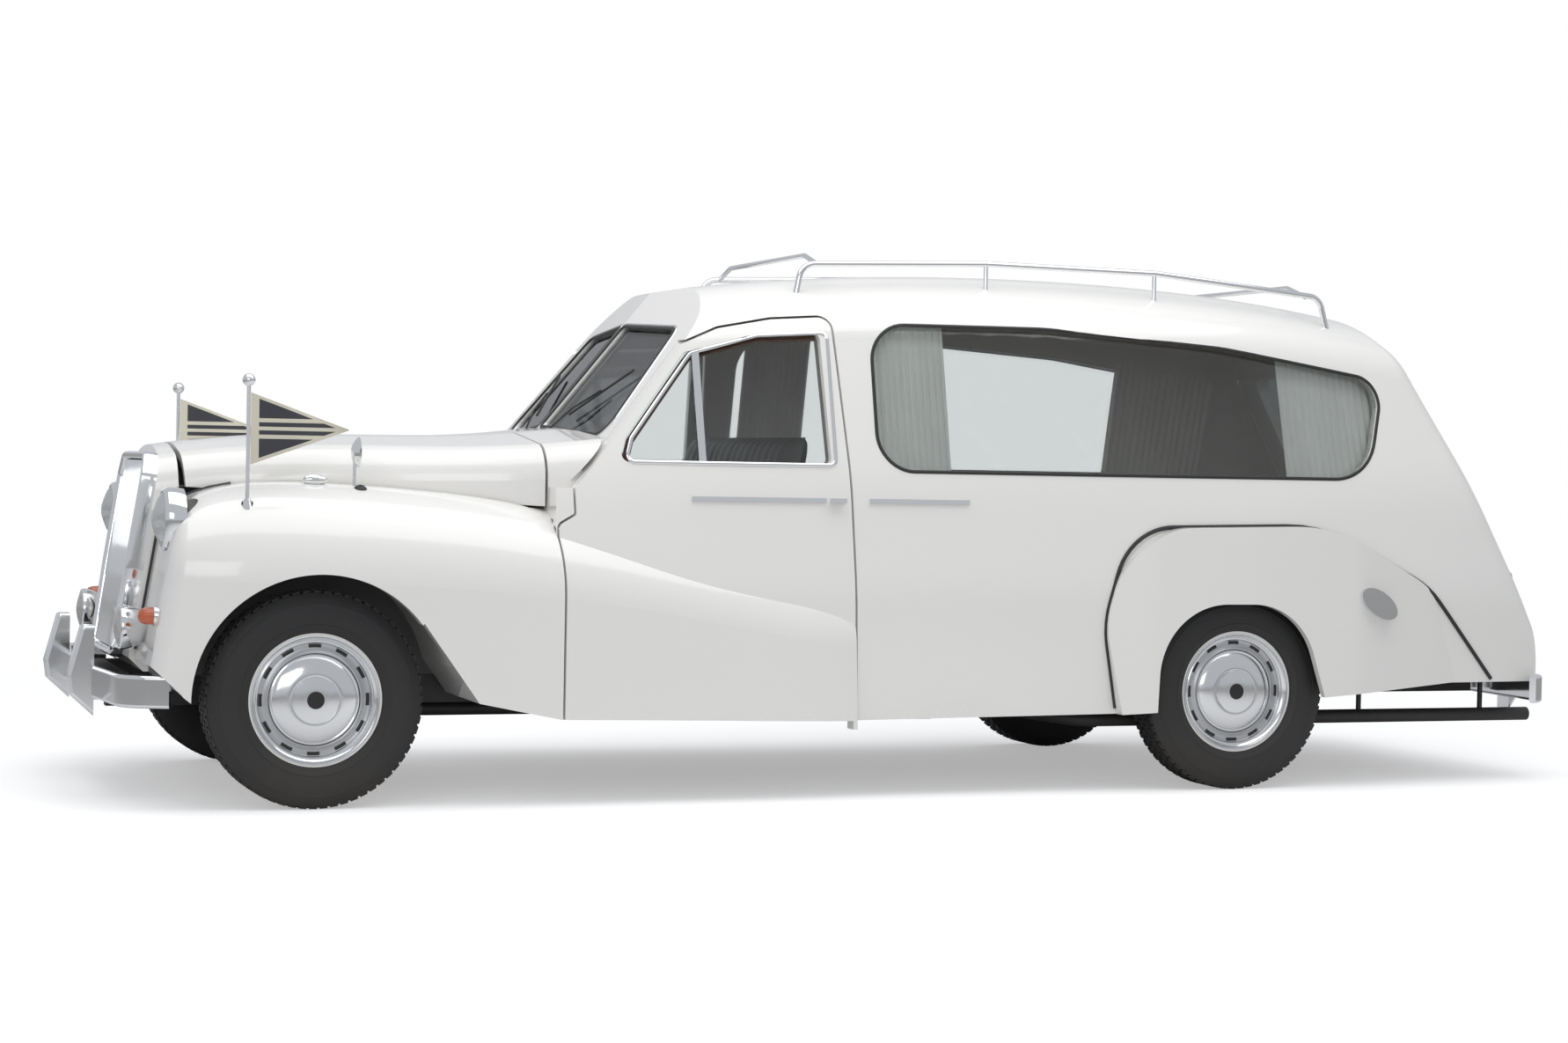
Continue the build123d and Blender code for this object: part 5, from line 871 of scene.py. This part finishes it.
class HEARSE_OT_wheels(bpy.types.Operator):
    """Builds the four wheels: rim, trim ring, vent slots as black strips of painted shade, domed cap and
    brake drum
    """
    bl_idname = "hearse.wheels"
    bl_label = "Build wheels"

    def execute(self, context):
        settings = context.scene.hearse_wheels
        for name, x, y, side in CORNERS:
            centre, axis, start = wheel_frame(x, y, side)
            bm = bmesh.new()
            lathe(bm, DRUM, centre, axis, start, 64, 1)
            lathe(bm, RIM, centre, axis, start, settings.steps, 2)
            lathe(bm, TRIM_RING, centre, axis, start, settings.steps, 0)
            lathe(bm, DISC, centre, axis, start, settings.steps, 3)
            lathe(bm, CAP, centre, axis, start, settings.steps, 0)
            lathe(bm, BADGE, centre, axis, start, 48, 4)
            # Each vent is a flat black strip laid on the disc: painted shade where the real wheel is
            # open
            for k in range(settings.vents):
                middle = 2 * pi * k / settings.vents
                turns = [middle + t * VENT_HALF_TURN for t in (-1.0, -0.6, -0.2, 0.2, 0.6, 1.0)]
                arc = [
                    centre + axis * VENT_OUT + Matrix.Rotation(turn, 3, axis) @ (start * VENT_RADIUS)
                    for turn in turns
                ]
                ways = [axis] * len(arc)
                tube(bm, arc, VENT_THICKNESS, 8, flat=0.35, out=ways, material=4)
            wheel = new_piece("wheel_dressed_" + name, bm, wheel_finishes())
            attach(wheel, "wheel_" + name + "_body")
            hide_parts("wheel_" + name)
        return {"FINISHED"}


class HEARSE_OT_grille(bpy.types.Operator):
    """Builds the radiator grille: a rounded chrome shell round upright slats"""
    bl_idname = "hearse.grille"
    bl_label = "Build radiator grille"

    def execute(self, context):
        settings = context.scene.hearse_front
        inward = Vector((cos(GRILLE_LEAN), 0, -sin(GRILLE_LEAN)))
        rise = Vector((sin(GRILLE_LEAN), 0, cos(GRILLE_LEAN)))
        foot = Vector((GRILLE_FOOT, 0, 0))

        def place(u, v, w):
            return foot + Vector((0, u, 0)) + rise * v + inward * w

        outline = [Vector((y * HALF_WIDTH, z * ROOF)) for y, z in GRILLE]
        shell = rounded(outline, GRILLE_ROUND, True, 0.03)
        centre = sum(shell, Vector((0, 0))) / len(shell)
        bm = bmesh.new()
        loops = []
        for depth, step_in in GRILLE_RINGS:
            inner = inset(shell, step_in)
            loops.append([bm.verts.new(place(p.x, p.y, depth)) for p in inner])
        for a, b in zip(loops, loops[1:]):
            for k in range(len(a)):
                bm.faces.new((a[k], a[(k + 1) % len(a)], b[(k + 1) % len(b)], b[k]))
        # Both back rings are closed with black sheets behind the slats: painted shadow standing in for
        # the dark of the radiator opening
        for loop in (loops[-1], loops[0]):
            bm.faces.new(loop).material_index = 1
        turn = Matrix(((-inward.x, 0, rise.x), (0, 1, 0), (-inward.z, 0, rise.z)))
        top_edge = [p for p in inner if p.y > centre.y]
        low_edge = [p for p in inner if p.y <= centre.y]
        count = settings.slats
        half = max(p.x for p in inner) - SLAT_MARGIN
        for k in range(count):
            u = half * (2 * k / (count - 1) - 1)
            high = height_at(top_edge, u, max) - SLAT_GAP
            low = height_at(low_edge, u, min) + SLAT_GAP
            if high - low < SHORTEST_SLAT:
                continue
            size = Vector((SLAT_DEPTH, settings.slat_width, high - low))
            block(bm, place(u, (high + low) / 2, SLAT_IN), size, turn, SLAT_BEVEL)
        for level in GRILLE_BARS:
            ends = [place(-half, level, BAR_IN), place(half, level, BAR_IN)]
            tube(bm, ends, BAR_RADIUS, 8, material=1)
        # Black for the bars and for the painted shadow sheets behind the slats
        shadow = surface("Grille black", (0.015, 0.015, 0.015), 0.5)
        grille = new_piece("grille_shell", bm, [chrome(), shadow])
        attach(grille, "body")
        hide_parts("radiator_grille")
        return {"FINISHED"}


def inset(points, amount):
    """A closed outline moved inwards by an amount."""
    if amount == 0:
        return [p.copy() for p in points]
    result = []
    count = len(points)
    centre = sum(points, Vector((0, 0))) / count
    for i, point in enumerate(points):
        way = (points[(i + 1) % count] - points[i - 1]).normalized()
        normal = Vector((-way.y, way.x))
        if normal.dot(centre - point) < 0:
            normal = -normal
        result.append(point + normal * amount)
    return result


def height_at(points, u, pick):
    """The height of an outline's upper or lower run over a place across."""
    levels = []
    for a, b in zip(points, points[1:]):
        low, high = sorted((a.x, b.x))
        if low <= u <= high and high - low > 1e-6 and (b - a).length < 0.2:
            levels.append(a.y + (b.y - a.y) * (u - a.x) / (b.x - a.x))
    if not levels:
        levels = [min(points, key=lambda p: abs(p.x - u)).y]
    return pick(levels)


class HEARSE_OT_lamps(bpy.types.Operator):
    """Builds headlamps, fog lamps, amber side lamps and red tail lamps"""
    bl_idname = "hearse.lamps"
    bl_label = "Build lamps"

    def execute(self, context):
        bulge = context.scene.hearse_front.lens_bulge
        ahead, start = Vector((-1, 0, 0)), Vector((0, 0, 1))
        glass = lens_glass("Headlamp glass", (0.86, 0.88, 0.88), 0.35)
        inside = surface("Reflector", (0.78, 0.79, 0.80), 0.12, 1.0, grime=0.0)
        dome = tuple((HEADLAMP_GLASS_OUT + share * bulge, radius) for share, radius in HEADLAMP_BULGE)
        bm = bmesh.new()
        for side, _ in SIDES:
            centre = Vector((FRONT_AXLE - 0.446, side * 0.680, 0.937))
            lathe(bm, HEADLAMP_RIM, centre, ahead, start, 72, 0)
            lathe(bm, HEADLAMP_GLASS_EDGE + dome, centre, ahead, start, 72, 1)
            lathe(bm, REFLECTOR, centre, ahead, start, 48, 2)
            lathe(bm, BULB, centre, ahead, start, 24, 0)
        lamps = new_piece("headlamps_dressed", bm, [chrome(), glass, inside])
        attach(lamps, "body")
        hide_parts("headlamps")
        bm = bmesh.new()
        for side, _ in SIDES:
            centre = Vector((FRONT_AXLE - 0.590, side * 0.545, 0.580))
            lathe(bm, FOG_LAMP_SHELL, centre, ahead, start, 64, 0)
            lathe(bm, FOG_LAMP_GLASS, centre, ahead, start, 48, 1)
        lens = lens_glass("Fog glass", (0.88, 0.87, 0.80), 0.5)
        fog = new_piece("fog_lamps_dressed", bm, [chrome(), lens])
        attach(fog, "body")
        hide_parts("fog_lamps")
        bm = bmesh.new()
        for side, _ in SIDES:
            centre = Vector((FRONT_AXLE - 0.500, side * 0.726, 0.627))
            lathe(bm, SIDE_LAMP_BASE, centre, ahead, start, 40, 1)
            lathe(bm, SIDE_LAMP_LENS, centre, ahead, start, 40, 0)
        lens = lens_glass("Amber lens", (0.80, 0.14, 0.015), 0.3)
        amber = new_piece("side_lamps_dressed", bm, [lens, chrome()])
        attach(amber, "body")
        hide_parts("side_lamps")
        rear_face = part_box("tail_lamps")[1].x
        bm = bmesh.new()
        for side, _ in SIDES:
            centre = Vector((rear_face, side * 0.655, 0.760))
            lathe(bm, TAIL_LAMP_BASE, centre, -ahead, start, 48, 1)
            lathe(bm, TAIL_LAMP_LENS, centre, -ahead, start, 48, 0)
        lens = lens_glass("Red lens", (0.45, 0.01, 0.01), 0.3)
        tail = new_piece("tail_lamps_dressed", bm, [lens, chrome()])
        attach(tail, "body")
        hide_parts("tail_lamps")
        return {"FINISHED"}


class HEARSE_OT_seals(bpy.types.Operator):
    """Lays rubber seals and bright frames round the windows and piping round the rear wings"""
    bl_idname = "hearse.seals"
    bl_label = "Lay seals and piping"

    def execute(self, context):
        width = context.scene.hearse_finish.seal_width
        black, bright = rubber(), chrome()
        for side, word in SIDES:
            panel = skin("side_panel_" + word)
            door = skin("door_" + word)
            bm = bmesh.new()
            line = rounded(side_view(QUARTER_WINDOW), QUARTER_ROUNDS)
            points, ways = traced(panel, line, side, 0.0, 0.010)
            tube(bm, points, width / 2, 10, True, 0.55, ways)
            quarter = new_piece("quarter_seal_" + word, bm, [black])
            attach(quarter, "body")
            bm = bmesh.new()
            line = rounded(side_view(DOOR_WINDOW), DOOR_ROUND)
            points, ways = traced(door, line, side, 0.001, 0.008)
            tube(bm, points, width / 2, 10, True, 0.6, ways)
            frame_piece = new_piece("door_frame_" + word, bm, [bright])
            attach(frame_piece, "door_" + word + "_body")
            bm = bmesh.new()
            points, ways = traced(door, line, side, -CAPPING_IN, 0.004)
            tube(bm, points, CAPPING_RADIUS, 8, True, 0.5, ways)
            varnish = wood("Door capping", (0.22, 0.085, 0.035))
            capping = new_piece("door_capping_" + word, bm, [varnish])
            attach(capping, "door_" + word + "_body")
            bm = bmesh.new()
            line = rounded(side_view(WING_LINE), WING_ROUNDS, False)
            points, ways = traced(panel, line, side, 0.003, 0.006)
            tube(bm, points, PIPING_RADIUS, 8, False, 0.9, ways)
            piping = new_piece("wing_piping_" + word, bm, [black])
            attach(piping, "body")
        return {"FINISHED"}


class HEARSE_OT_front_trim(bpy.types.Operator):
    """Seats the flag masts on rubber feet and pipes the joint of wings and radiator"""
    bl_idname = "hearse.front_trim"
    bl_label = "Fit front trim"

    def execute(self, context):
        bm = bmesh.new()
        wings = {side: skin("front_wing_" + word) for side, word in SIDES}
        for side, tree in wings.items():
            for x, y, radius in FEET:
                hit, normal, _, _ = tree.ray_cast(Vector((x, side * y, ABOVE_WINGS)), Vector((0, 0, -1)))
                if hit is None:
                    continue
                profile = [(rise, share * radius) for rise, share in FOOT_PROFILE]
                lathe(bm, profile, hit, normal, normal.orthogonal().normalized(), 32)
        feet = new_piece("rubber_feet", bm, [rubber()])
        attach(feet, "body")
        bm = bmesh.new()
        for side, tree in wings.items():
            points = []
            for k in range(NOSE_LEVELS):
                z = NOSE_LOW + NOSE_RISE * k / (NOSE_LEVELS - 1)
                for step in range(NOSE_STEPS):
                    y = NOSE_INNER + NOSE_STEP * step
                    hit = tree.ray_cast(Vector((AHEAD_OF_NOSE, side * y, z)), Vector((1, 0, 0)))[0]
                    if hit is not None:
                        points.append(hit + Vector((-NOSE_LIFT, 0, 0)))
                        break
            tube(bm, points, NOSE_RADIUS, 8)
        piping = new_piece("nose_piping", bm, [rubber()])
        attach(piping, "body")
        return {"FINISHED"}


class HEARSE_OT_pennants(bpy.types.Operator):
    """Hangs the two striped pennants from their masts"""
    bl_idname = "hearse.pennants"
    bl_label = "Hang pennants"

    def execute(self, context):
        wave = context.scene.hearse_cloth.wave
        material = pennant_cloth()
        columns, rows = 60, 24
        for side, word in SIDES:
            lines = []
            for i in range(columns):
                u = i / (columns - 1) * PENNANT_END
                low = PENNANT_LOW + (PENNANT_TIP - PENNANT_LOW) * u
                high = PENNANT_HIGH + (PENNANT_TIP - PENNANT_HIGH) * u
                x = MAST_X + PENNANT_OFF_MAST + (PENNANT_REACH - PENNANT_MARGIN) * u
                line = []
                for j in range(rows):
                    v = j / (rows - 1)
                    z = low + (high - low) * v
                    sway = wave * sin(9.0 * u + 1.4 * v) * min(1.0, 4.0 * u)
                    line.append(((x, side * MAST_Y + sway, z), (u * PENNANT_REACH, z - PENNANT_TIP)))
                lines.append(line)
            bm, _ = cloth_mesh(lines)
            pennant = new_piece("pennant_" + word, bm, [material], 60.0)
            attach(pennant, "body")
            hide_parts("pennants")
        return {"FINISHED"}


def pennant_cloth():
    """Cream cloth with two dark triangles and two dark stripes, from its own map in metres."""
    name = "Pennant cloth"
    if name in bpy.data.materials:
        return bpy.data.materials[name]
    material = cloth(name, (0.70, 0.66, 0.54), 2400.0)
    tree = material.node_tree
    shader = tree.nodes["Principled BSDF"]
    uv = tree.nodes.new("ShaderNodeUVMap")
    split = tree.nodes.new("ShaderNodeSeparateXYZ")
    tree.links.new(uv.outputs["UV"], split.inputs[0])
    across = maths(tree, "ABSOLUTE", split.outputs["Y"], None)
    # Distance in from the slanting edge, then from the mast
    left_over = maths(tree, "SUBTRACT", PENNANT_REACH, split.outputs["X"])
    edge = maths(tree, "SUBTRACT", maths(tree, "MULTIPLY", left_over, 0.349), across)
    inner = maths(tree, "GREATER_THAN", edge, 0.011)
    past_sleeve = maths(tree, "GREATER_THAN", split.outputs["X"], 0.028)
    triangle = maths(tree, "GREATER_THAN", across, 0.0330)
    stripe_low = maths(tree, "GREATER_THAN", across, 0.0060)
    stripe_high = maths(tree, "LESS_THAN", across, 0.0200)
    stripe = maths(tree, "MULTIPLY", stripe_low, stripe_high)
    dark = maths(tree, "MAXIMUM", triangle, stripe)
    mask = maths(tree, "MULTIPLY", maths(tree, "MULTIPLY", dark, inner), past_sleeve)
    ground = shader.inputs["Base Color"].links[0].from_socket
    tree.links.new(mix_colour(tree, mask, ground, (0.045, 0.046, 0.055)), shader.inputs["Base Color"])
    return material


class HEARSE_OT_curtains(bpy.types.Operator):
    """Hangs gathered curtains at both ends of the load space's windows"""
    bl_idname = "hearse.curtains"
    bl_label = "Hang curtains"

    def execute(self, context):
        settings = context.scene.hearse_cloth
        material = cloth("Curtain cloth", (0.93, 0.93, 0.89), 1800.0)
        for side, word in SIDES:
            for place, run, foot, heads, share in CURTAINS:
                folds = int(settings.folds * share)
                width = (run[1] - run[0]) * WHEELBASE
                columns, rows = folds * FOLD_STEPS + 1, 26
                lines = []
                for i in range(columns):
                    u = i / (columns - 1)
                    x = along(run[0] + (run[1] - run[0]) * u)
                    low, high = foot * ROOF, (heads[0] + (heads[1] - heads[0]) * u) * ROOF
                    line = []
                    for j in range(rows):
                        v = j / (rows - 1)
                        z = low + (high - low) * v
                        depth = settings.fold_depth * (0.55 + 0.45 * cos(pi * (v - 0.5)))
                        drift = 0.25 * sin(3.1 * v + 1.7 * i / FOLD_STEPS)
                        fold = sin(2 * pi * folds * u + drift)
                        y = hull_inside(x, z) - CURTAIN_OFF_WALL + 0.5 * depth * fold
                        line.append(((x, side * y, z), (GATHER * u * width, z)))
                    lines.append(line)
                bm, area = cloth_mesh(lines)
                curtain = new_piece("curtain_" + place + "_" + word, bm, [material], 75.0)
                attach(curtain, "body")
                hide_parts("curtains")
        return {"FINISHED"}


def hull_inside(x, z):
    """Half width of the load space's inner wall at a place along and up, in metres."""
    share = (x - FRONT_AXLE) / WHEELBASE
    for a, b in zip(STATIONS, STATIONS[1:]):
        if share <= b[0] or b is STATIONS[-1]:
            t = (share - a[0]) / (b[0] - a[0])
            belt_y, rail_y, belt_z, rail_z = (p + (q - p) * t for p, q in zip(a[1:], b[1:]))
            break
    rise = (z / ROOF - belt_z) / (rail_z - belt_z)
    return (belt_y + (rail_y - belt_y) * rise) * HALF_WIDTH - WALL


class HEARSE_OT_seats(bpy.types.Operator):
    """Builds the padded bench seat and its backrest with pleats"""
    bl_idname = "hearse.seats"
    bl_label = "Build seats"

    def execute(self, context):
        for node, fill in (("seat_cushion", 0.8), ("seat_back", 0.75)):
            low, high = (Vector(corner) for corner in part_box(node))
            bm = bmesh.new()
            middle, size = (low + high) / 2, high - low
            upright = node == "seat_back"
            thick = BACK_THICKNESS if upright else size.z
            across, deep = 96, 28
            padding = []
            for layer_side in (0, 1):
                grid = []
                for i in range(across + 1):
                    row = []
                    for j in range(deep + 1):
                        u, v = i / across, j / deep
                        puff = (1 - abs(2 * u - 1) ** 10) ** 0.5 * (1 - abs(2 * v - 1) ** 8) ** 0.5
                        pleat = PLEAT_DEPTH * abs(sin(pi * PLEATS * u)) ** 0.6 * puff
                        lift = (thick / 2 - PAD_MARGIN) * puff
                        lift = lift + pleat if layer_side else -lift
                        y = low.y + SEAM + (size.y - 2 * SEAM) * u
                        if upright:
                            z = low.z + SEAM + (size.z - 2 * SEAM) * v
                            x = high.x - BACK_MIDDLE - BACK_LEAN * (1 - v) - lift * 0.98
                            row.append(Vector((x, y, z)))
                        else:
                            x = low.x + SEAM + (size.x - 2 * SEAM) * v
                            row.append(Vector((x, y, middle.z + lift)))
                    grid.append(row)
                padding.append(grid)
            for grid in padding:
                verts = [[bm.verts.new(p) for p in row] for row in grid]
                for a, b in zip(verts, verts[1:]):
                    for j in range(deep):
                        bm.faces.new((a[j], b[j], b[j + 1], a[j + 1]))
            bmesh.ops.remove_doubles(bm, verts=bm.verts, dist=1e-5)
            seat = new_piece(node + "_padded", bm, [leather()], 50.0)
            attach(seat, "body")
            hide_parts(node)
        return {"FINISHED"}


class HEARSE_OT_screen(bpy.types.Operator):
    """Fits the windscreen's seal and its wipers"""
    bl_idname = "hearse.screen"
    bl_label = "Fit screen details"

    def execute(self, context):
        black, bright = rubber(), chrome()
        bm = bmesh.new()
        for side, _ in SIDES:
            pane = [Vector((side * y * HALF_WIDTH, z * ROOF)) for y, z in SCREEN_PANE]
            line = rounded(pane, SCREEN_ROUNDS)
            out = Vector((-0.75, side * 0.08, 0.65)).normalized()
            for grow, radius, material in SCREEN_TUBES:
                points = [on_screen(p.x, p.y, 0.001) for p in inset(line, -grow)]
                tube(bm, points, radius, 8, True, 0.6, [out] * len(points), material)
        screen = new_piece("screen_seal", bm, [black, bright])
        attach(screen, "body")
        bm = bmesh.new()
        for side, _ in SIDES:
            foot = on_screen(side * 0.16, 1.262, 0.018)
            end = on_screen(side * 0.36, 1.40, 0.020)
            elbow = (foot + end) / 2 + Vector((-0.008, 0, 0.006))
            tube(bm, [foot + Vector((0.02, 0, -0.02)), foot, elbow, end], WIPER_ARM, 8)
            heel = on_screen(side * 0.22, 1.315, 0.010)
            toe = on_screen(side * 0.48, 1.47, 0.010)
            tube(bm, [heel, (heel + toe) / 2, toe], WIPER_BLADE, 8)
            knob = Matrix.Translation(foot + Vector((0.012, 0, -0.012)))
            bmesh.ops.create_uvsphere(bm, u_segments=16, v_segments=10, radius=WIPER_KNOB, matrix=knob)
        wipers = new_piece("wipers", bm, [surface("Wiper black", (0.02, 0.02, 0.02), 0.35)])
        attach(wipers, "body")
        return {"FINISHED"}


def on_screen(y, z, off):
    """A point ahead of the windscreen's outer face at a place across and up."""
    foot_x, foot_z = SCREEN_FOOT
    head_x, head_z = SCREEN_HEAD
    x = foot_x + (z - foot_z) * (head_x - foot_x) / (head_z - foot_z) + SCREEN_SWEEP * abs(y)
    return Vector((x - off, y, z))


class HEARSE_OT_stage(bpy.types.Operator):
    """Sets the white stage, its lamps and the camera"""
    bl_idname = "hearse.stage"
    bl_label = "Set stage"

    def execute(self, context):
        settings = context.scene.hearse_stage
        scene = context.scene
        bm = bmesh.new()
        bmesh.ops.create_grid(bm, x_segments=1, y_segments=1, size=FLOOR_HALF)
        floor_piece = new_piece("stage_floor", bm, [stage_white()])
        floor_piece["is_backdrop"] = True
        world = bpy.data.worlds.new("Stage light")
        world.use_nodes = True
        tree = world.node_tree
        back = tree.nodes["Background"]
        seen = tree.nodes.new("ShaderNodeBackground")
        seen.inputs["Color"].default_value = (1.0, 1.0, 1.0, 1.0)
        seen.inputs["Strength"].default_value = 1.0
        back.inputs["Color"].default_value = (0.93, 0.95, 1.0, 1.0)
        back.inputs["Strength"].default_value = 0.60
        path = tree.nodes.new("ShaderNodeLightPath")
        mixer = tree.nodes.new("ShaderNodeMixShader")
        tree.links.new(path.outputs["Is Camera Ray"], mixer.inputs[0])
        tree.links.new(back.outputs[0], mixer.inputs[1])
        tree.links.new(seen.outputs[0], mixer.inputs[2])
        tree.links.new(mixer.outputs[0], tree.nodes["World Output"].inputs["Surface"])
        scene.world = world
        lamps = (
            ("key_lamp", KEY_PLACE, KEY_AIM, KEY_SIZE, settings.key_power),
            ("fill_lamp", FILL_PLACE, FILL_AIM, FILL_SIZE, settings.fill_power),
        )
        for name, place, aim, size, power in lamps:
            lamp = bpy.data.lights.new(name, "AREA")
            lamp.shape = "RECTANGLE"
            lamp.size, lamp.size_y = size
            lamp.energy = power
            obj = bpy.data.objects.new(name, lamp)
            obj.location = place
            way = Vector(aim) - Vector(place)
            obj.rotation_euler = way.to_track_quat("-Z", "Y").to_euler()
            scene.collection.objects.link(obj)
        ahead = Vector((sin(YAW) * cos(PITCH), cos(YAW) * cos(PITCH), sin(PITCH)))
        right = Vector((cos(YAW), -sin(YAW), 0.0))
        upward = right.cross(ahead)
        across = cos(ROLL) * right + sin(ROLL) * upward
        over = -sin(ROLL) * right + cos(ROLL) * upward
        data = bpy.data.cameras.new("photo_camera")
        data.lens = settings.lens
        data.sensor_width = SENSOR
        camera = bpy.data.objects.new("photo_camera", data)
        turn = Matrix((across, over, -ahead)).transposed()
        camera.matrix_world = Matrix.Translation(Vector(CAMERA)) @ turn.to_4x4()
        scene.collection.objects.link(camera)
        scene.camera = camera
        scene.view_settings.view_transform = "Standard"
        return {"FINISHED"}


def stage_white():
    """White floor that keeps the car's shadow."""
    material, tree, shader = new_material("Stage white")
    coords = tree.nodes.new("ShaderNodeTexCoord")
    grain = noise(tree, coords.outputs["Object"], 0.8, 3.0)
    split = tree.nodes.new("ShaderNodeSeparateXYZ")
    tree.links.new(coords.outputs["Object"], split.inputs[0])
    lengths = [maths(tree, "ABSOLUTE", split.outputs[axis], None) for axis in "XY"]
    squares = [maths(tree, "POWER", length, 2.0) for length in lengths]
    distance = maths(tree, "SQRT", maths(tree, "ADD", *squares), None)
    far = maths(tree, "DIVIDE", maths(tree, "SUBTRACT", distance, FADE_START), FADE_LENGTH, True)
    specks = maths(tree, "MULTIPLY", grain, 0.05)
    shade = mix_colour(tree, specks, (0.80, 0.80, 0.80), (0.76, 0.76, 0.76))
    tree.links.new(mix_colour(tree, far, shade, (0.0, 0.0, 0.0)), shader.inputs["Base Color"])
    shader.inputs["Roughness"].default_value = 0.9
    shader.inputs["Specular IOR Level"].default_value = 0.0
    shader.inputs["Emission Color"].default_value = (1.0, 1.0, 1.0, 1.0)
    # The camera sees the floor turn white; reflections see it a soft grey
    path = tree.nodes.new("ShaderNodeLightPath")
    glow = maths(tree, "ADD", maths(tree, "MULTIPLY", far, 0.62), 0.40)
    seen = maths(tree, "MULTIPLY", path.outputs["Is Camera Ray"], glow)
    unseen = maths(tree, "SUBTRACT", 1.0, path.outputs["Is Camera Ray"])
    mirrored = maths(tree, "MULTIPLY", unseen, maths(tree, "MULTIPLY", far, 0.34))
    tree.links.new(maths(tree, "ADD", seen, mirrored), shader.inputs["Emission Strength"])
    return material


class HEARSE_PT_panel(bpy.types.Panel):
    """The hearse's pieces"""
    bl_idname = "HEARSE_PT_panel"
    bl_label = "Hearse"
    bl_space_type = "VIEW_3D"
    bl_region_type = "UI"
    bl_category = "Hearse"

    def draw(self, context):
        layout = self.layout
        for operator in OPERATORS:
            layout.operator(operator.bl_idname)
        for owner in (
            context.scene.hearse_finish, context.scene.hearse_wheels, context.scene.hearse_front,
            context.scene.hearse_cloth, context.scene.hearse_stage,
        ):
            for name in owner.__annotations__:
                layout.prop(owner, name)


GROUPS = (
    ("hearse_finish", HearseFinish), ("hearse_wheels", HearseWheels), ("hearse_front", HearseFront),
    ("hearse_cloth", HearseCloth), ("hearse_stage", HearseStage),
)
OPERATORS = (
    HEARSE_OT_panels, HEARSE_OT_tyres, HEARSE_OT_wheels, HEARSE_OT_grille, HEARSE_OT_lamps,
    HEARSE_OT_seals, HEARSE_OT_screen, HEARSE_OT_front_trim, HEARSE_OT_pennants, HEARSE_OT_curtains,
    HEARSE_OT_seats, HEARSE_OT_stage,
)


def register():
    for name, group in GROUPS:
        bpy.utils.register_class(group)
        setattr(bpy.types.Scene, name, bpy.props.PointerProperty(type=group))
    for operator in OPERATORS:
        bpy.utils.register_class(operator)
    bpy.utils.register_class(HEARSE_PT_panel)


def unregister():
    bpy.utils.unregister_class(HEARSE_PT_panel)
    for operator in reversed(OPERATORS):
        bpy.utils.unregister_class(operator)
    for name, group in reversed(GROUPS):
        delattr(bpy.types.Scene, name)
        bpy.utils.unregister_class(group)


def corners():
    """The box of everything but the stage, as plain lists."""
    return [list(corner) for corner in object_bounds()]


def main():
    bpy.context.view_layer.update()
    register()
    bpy.ops.hearse.panels()
    bpy.ops.hearse.tyres()
    bpy.ops.hearse.wheels()
    bpy.ops.hearse.grille()
    bpy.ops.hearse.lamps()
    bpy.ops.hearse.seals()
    bpy.ops.hearse.screen()
    bpy.ops.hearse.front_trim()
    bpy.ops.hearse.pennants()
    bpy.ops.hearse.curtains()
    bpy.ops.hearse.seats()
    bpy.ops.hearse.stage()


if __name__ == "__main__":
    main()
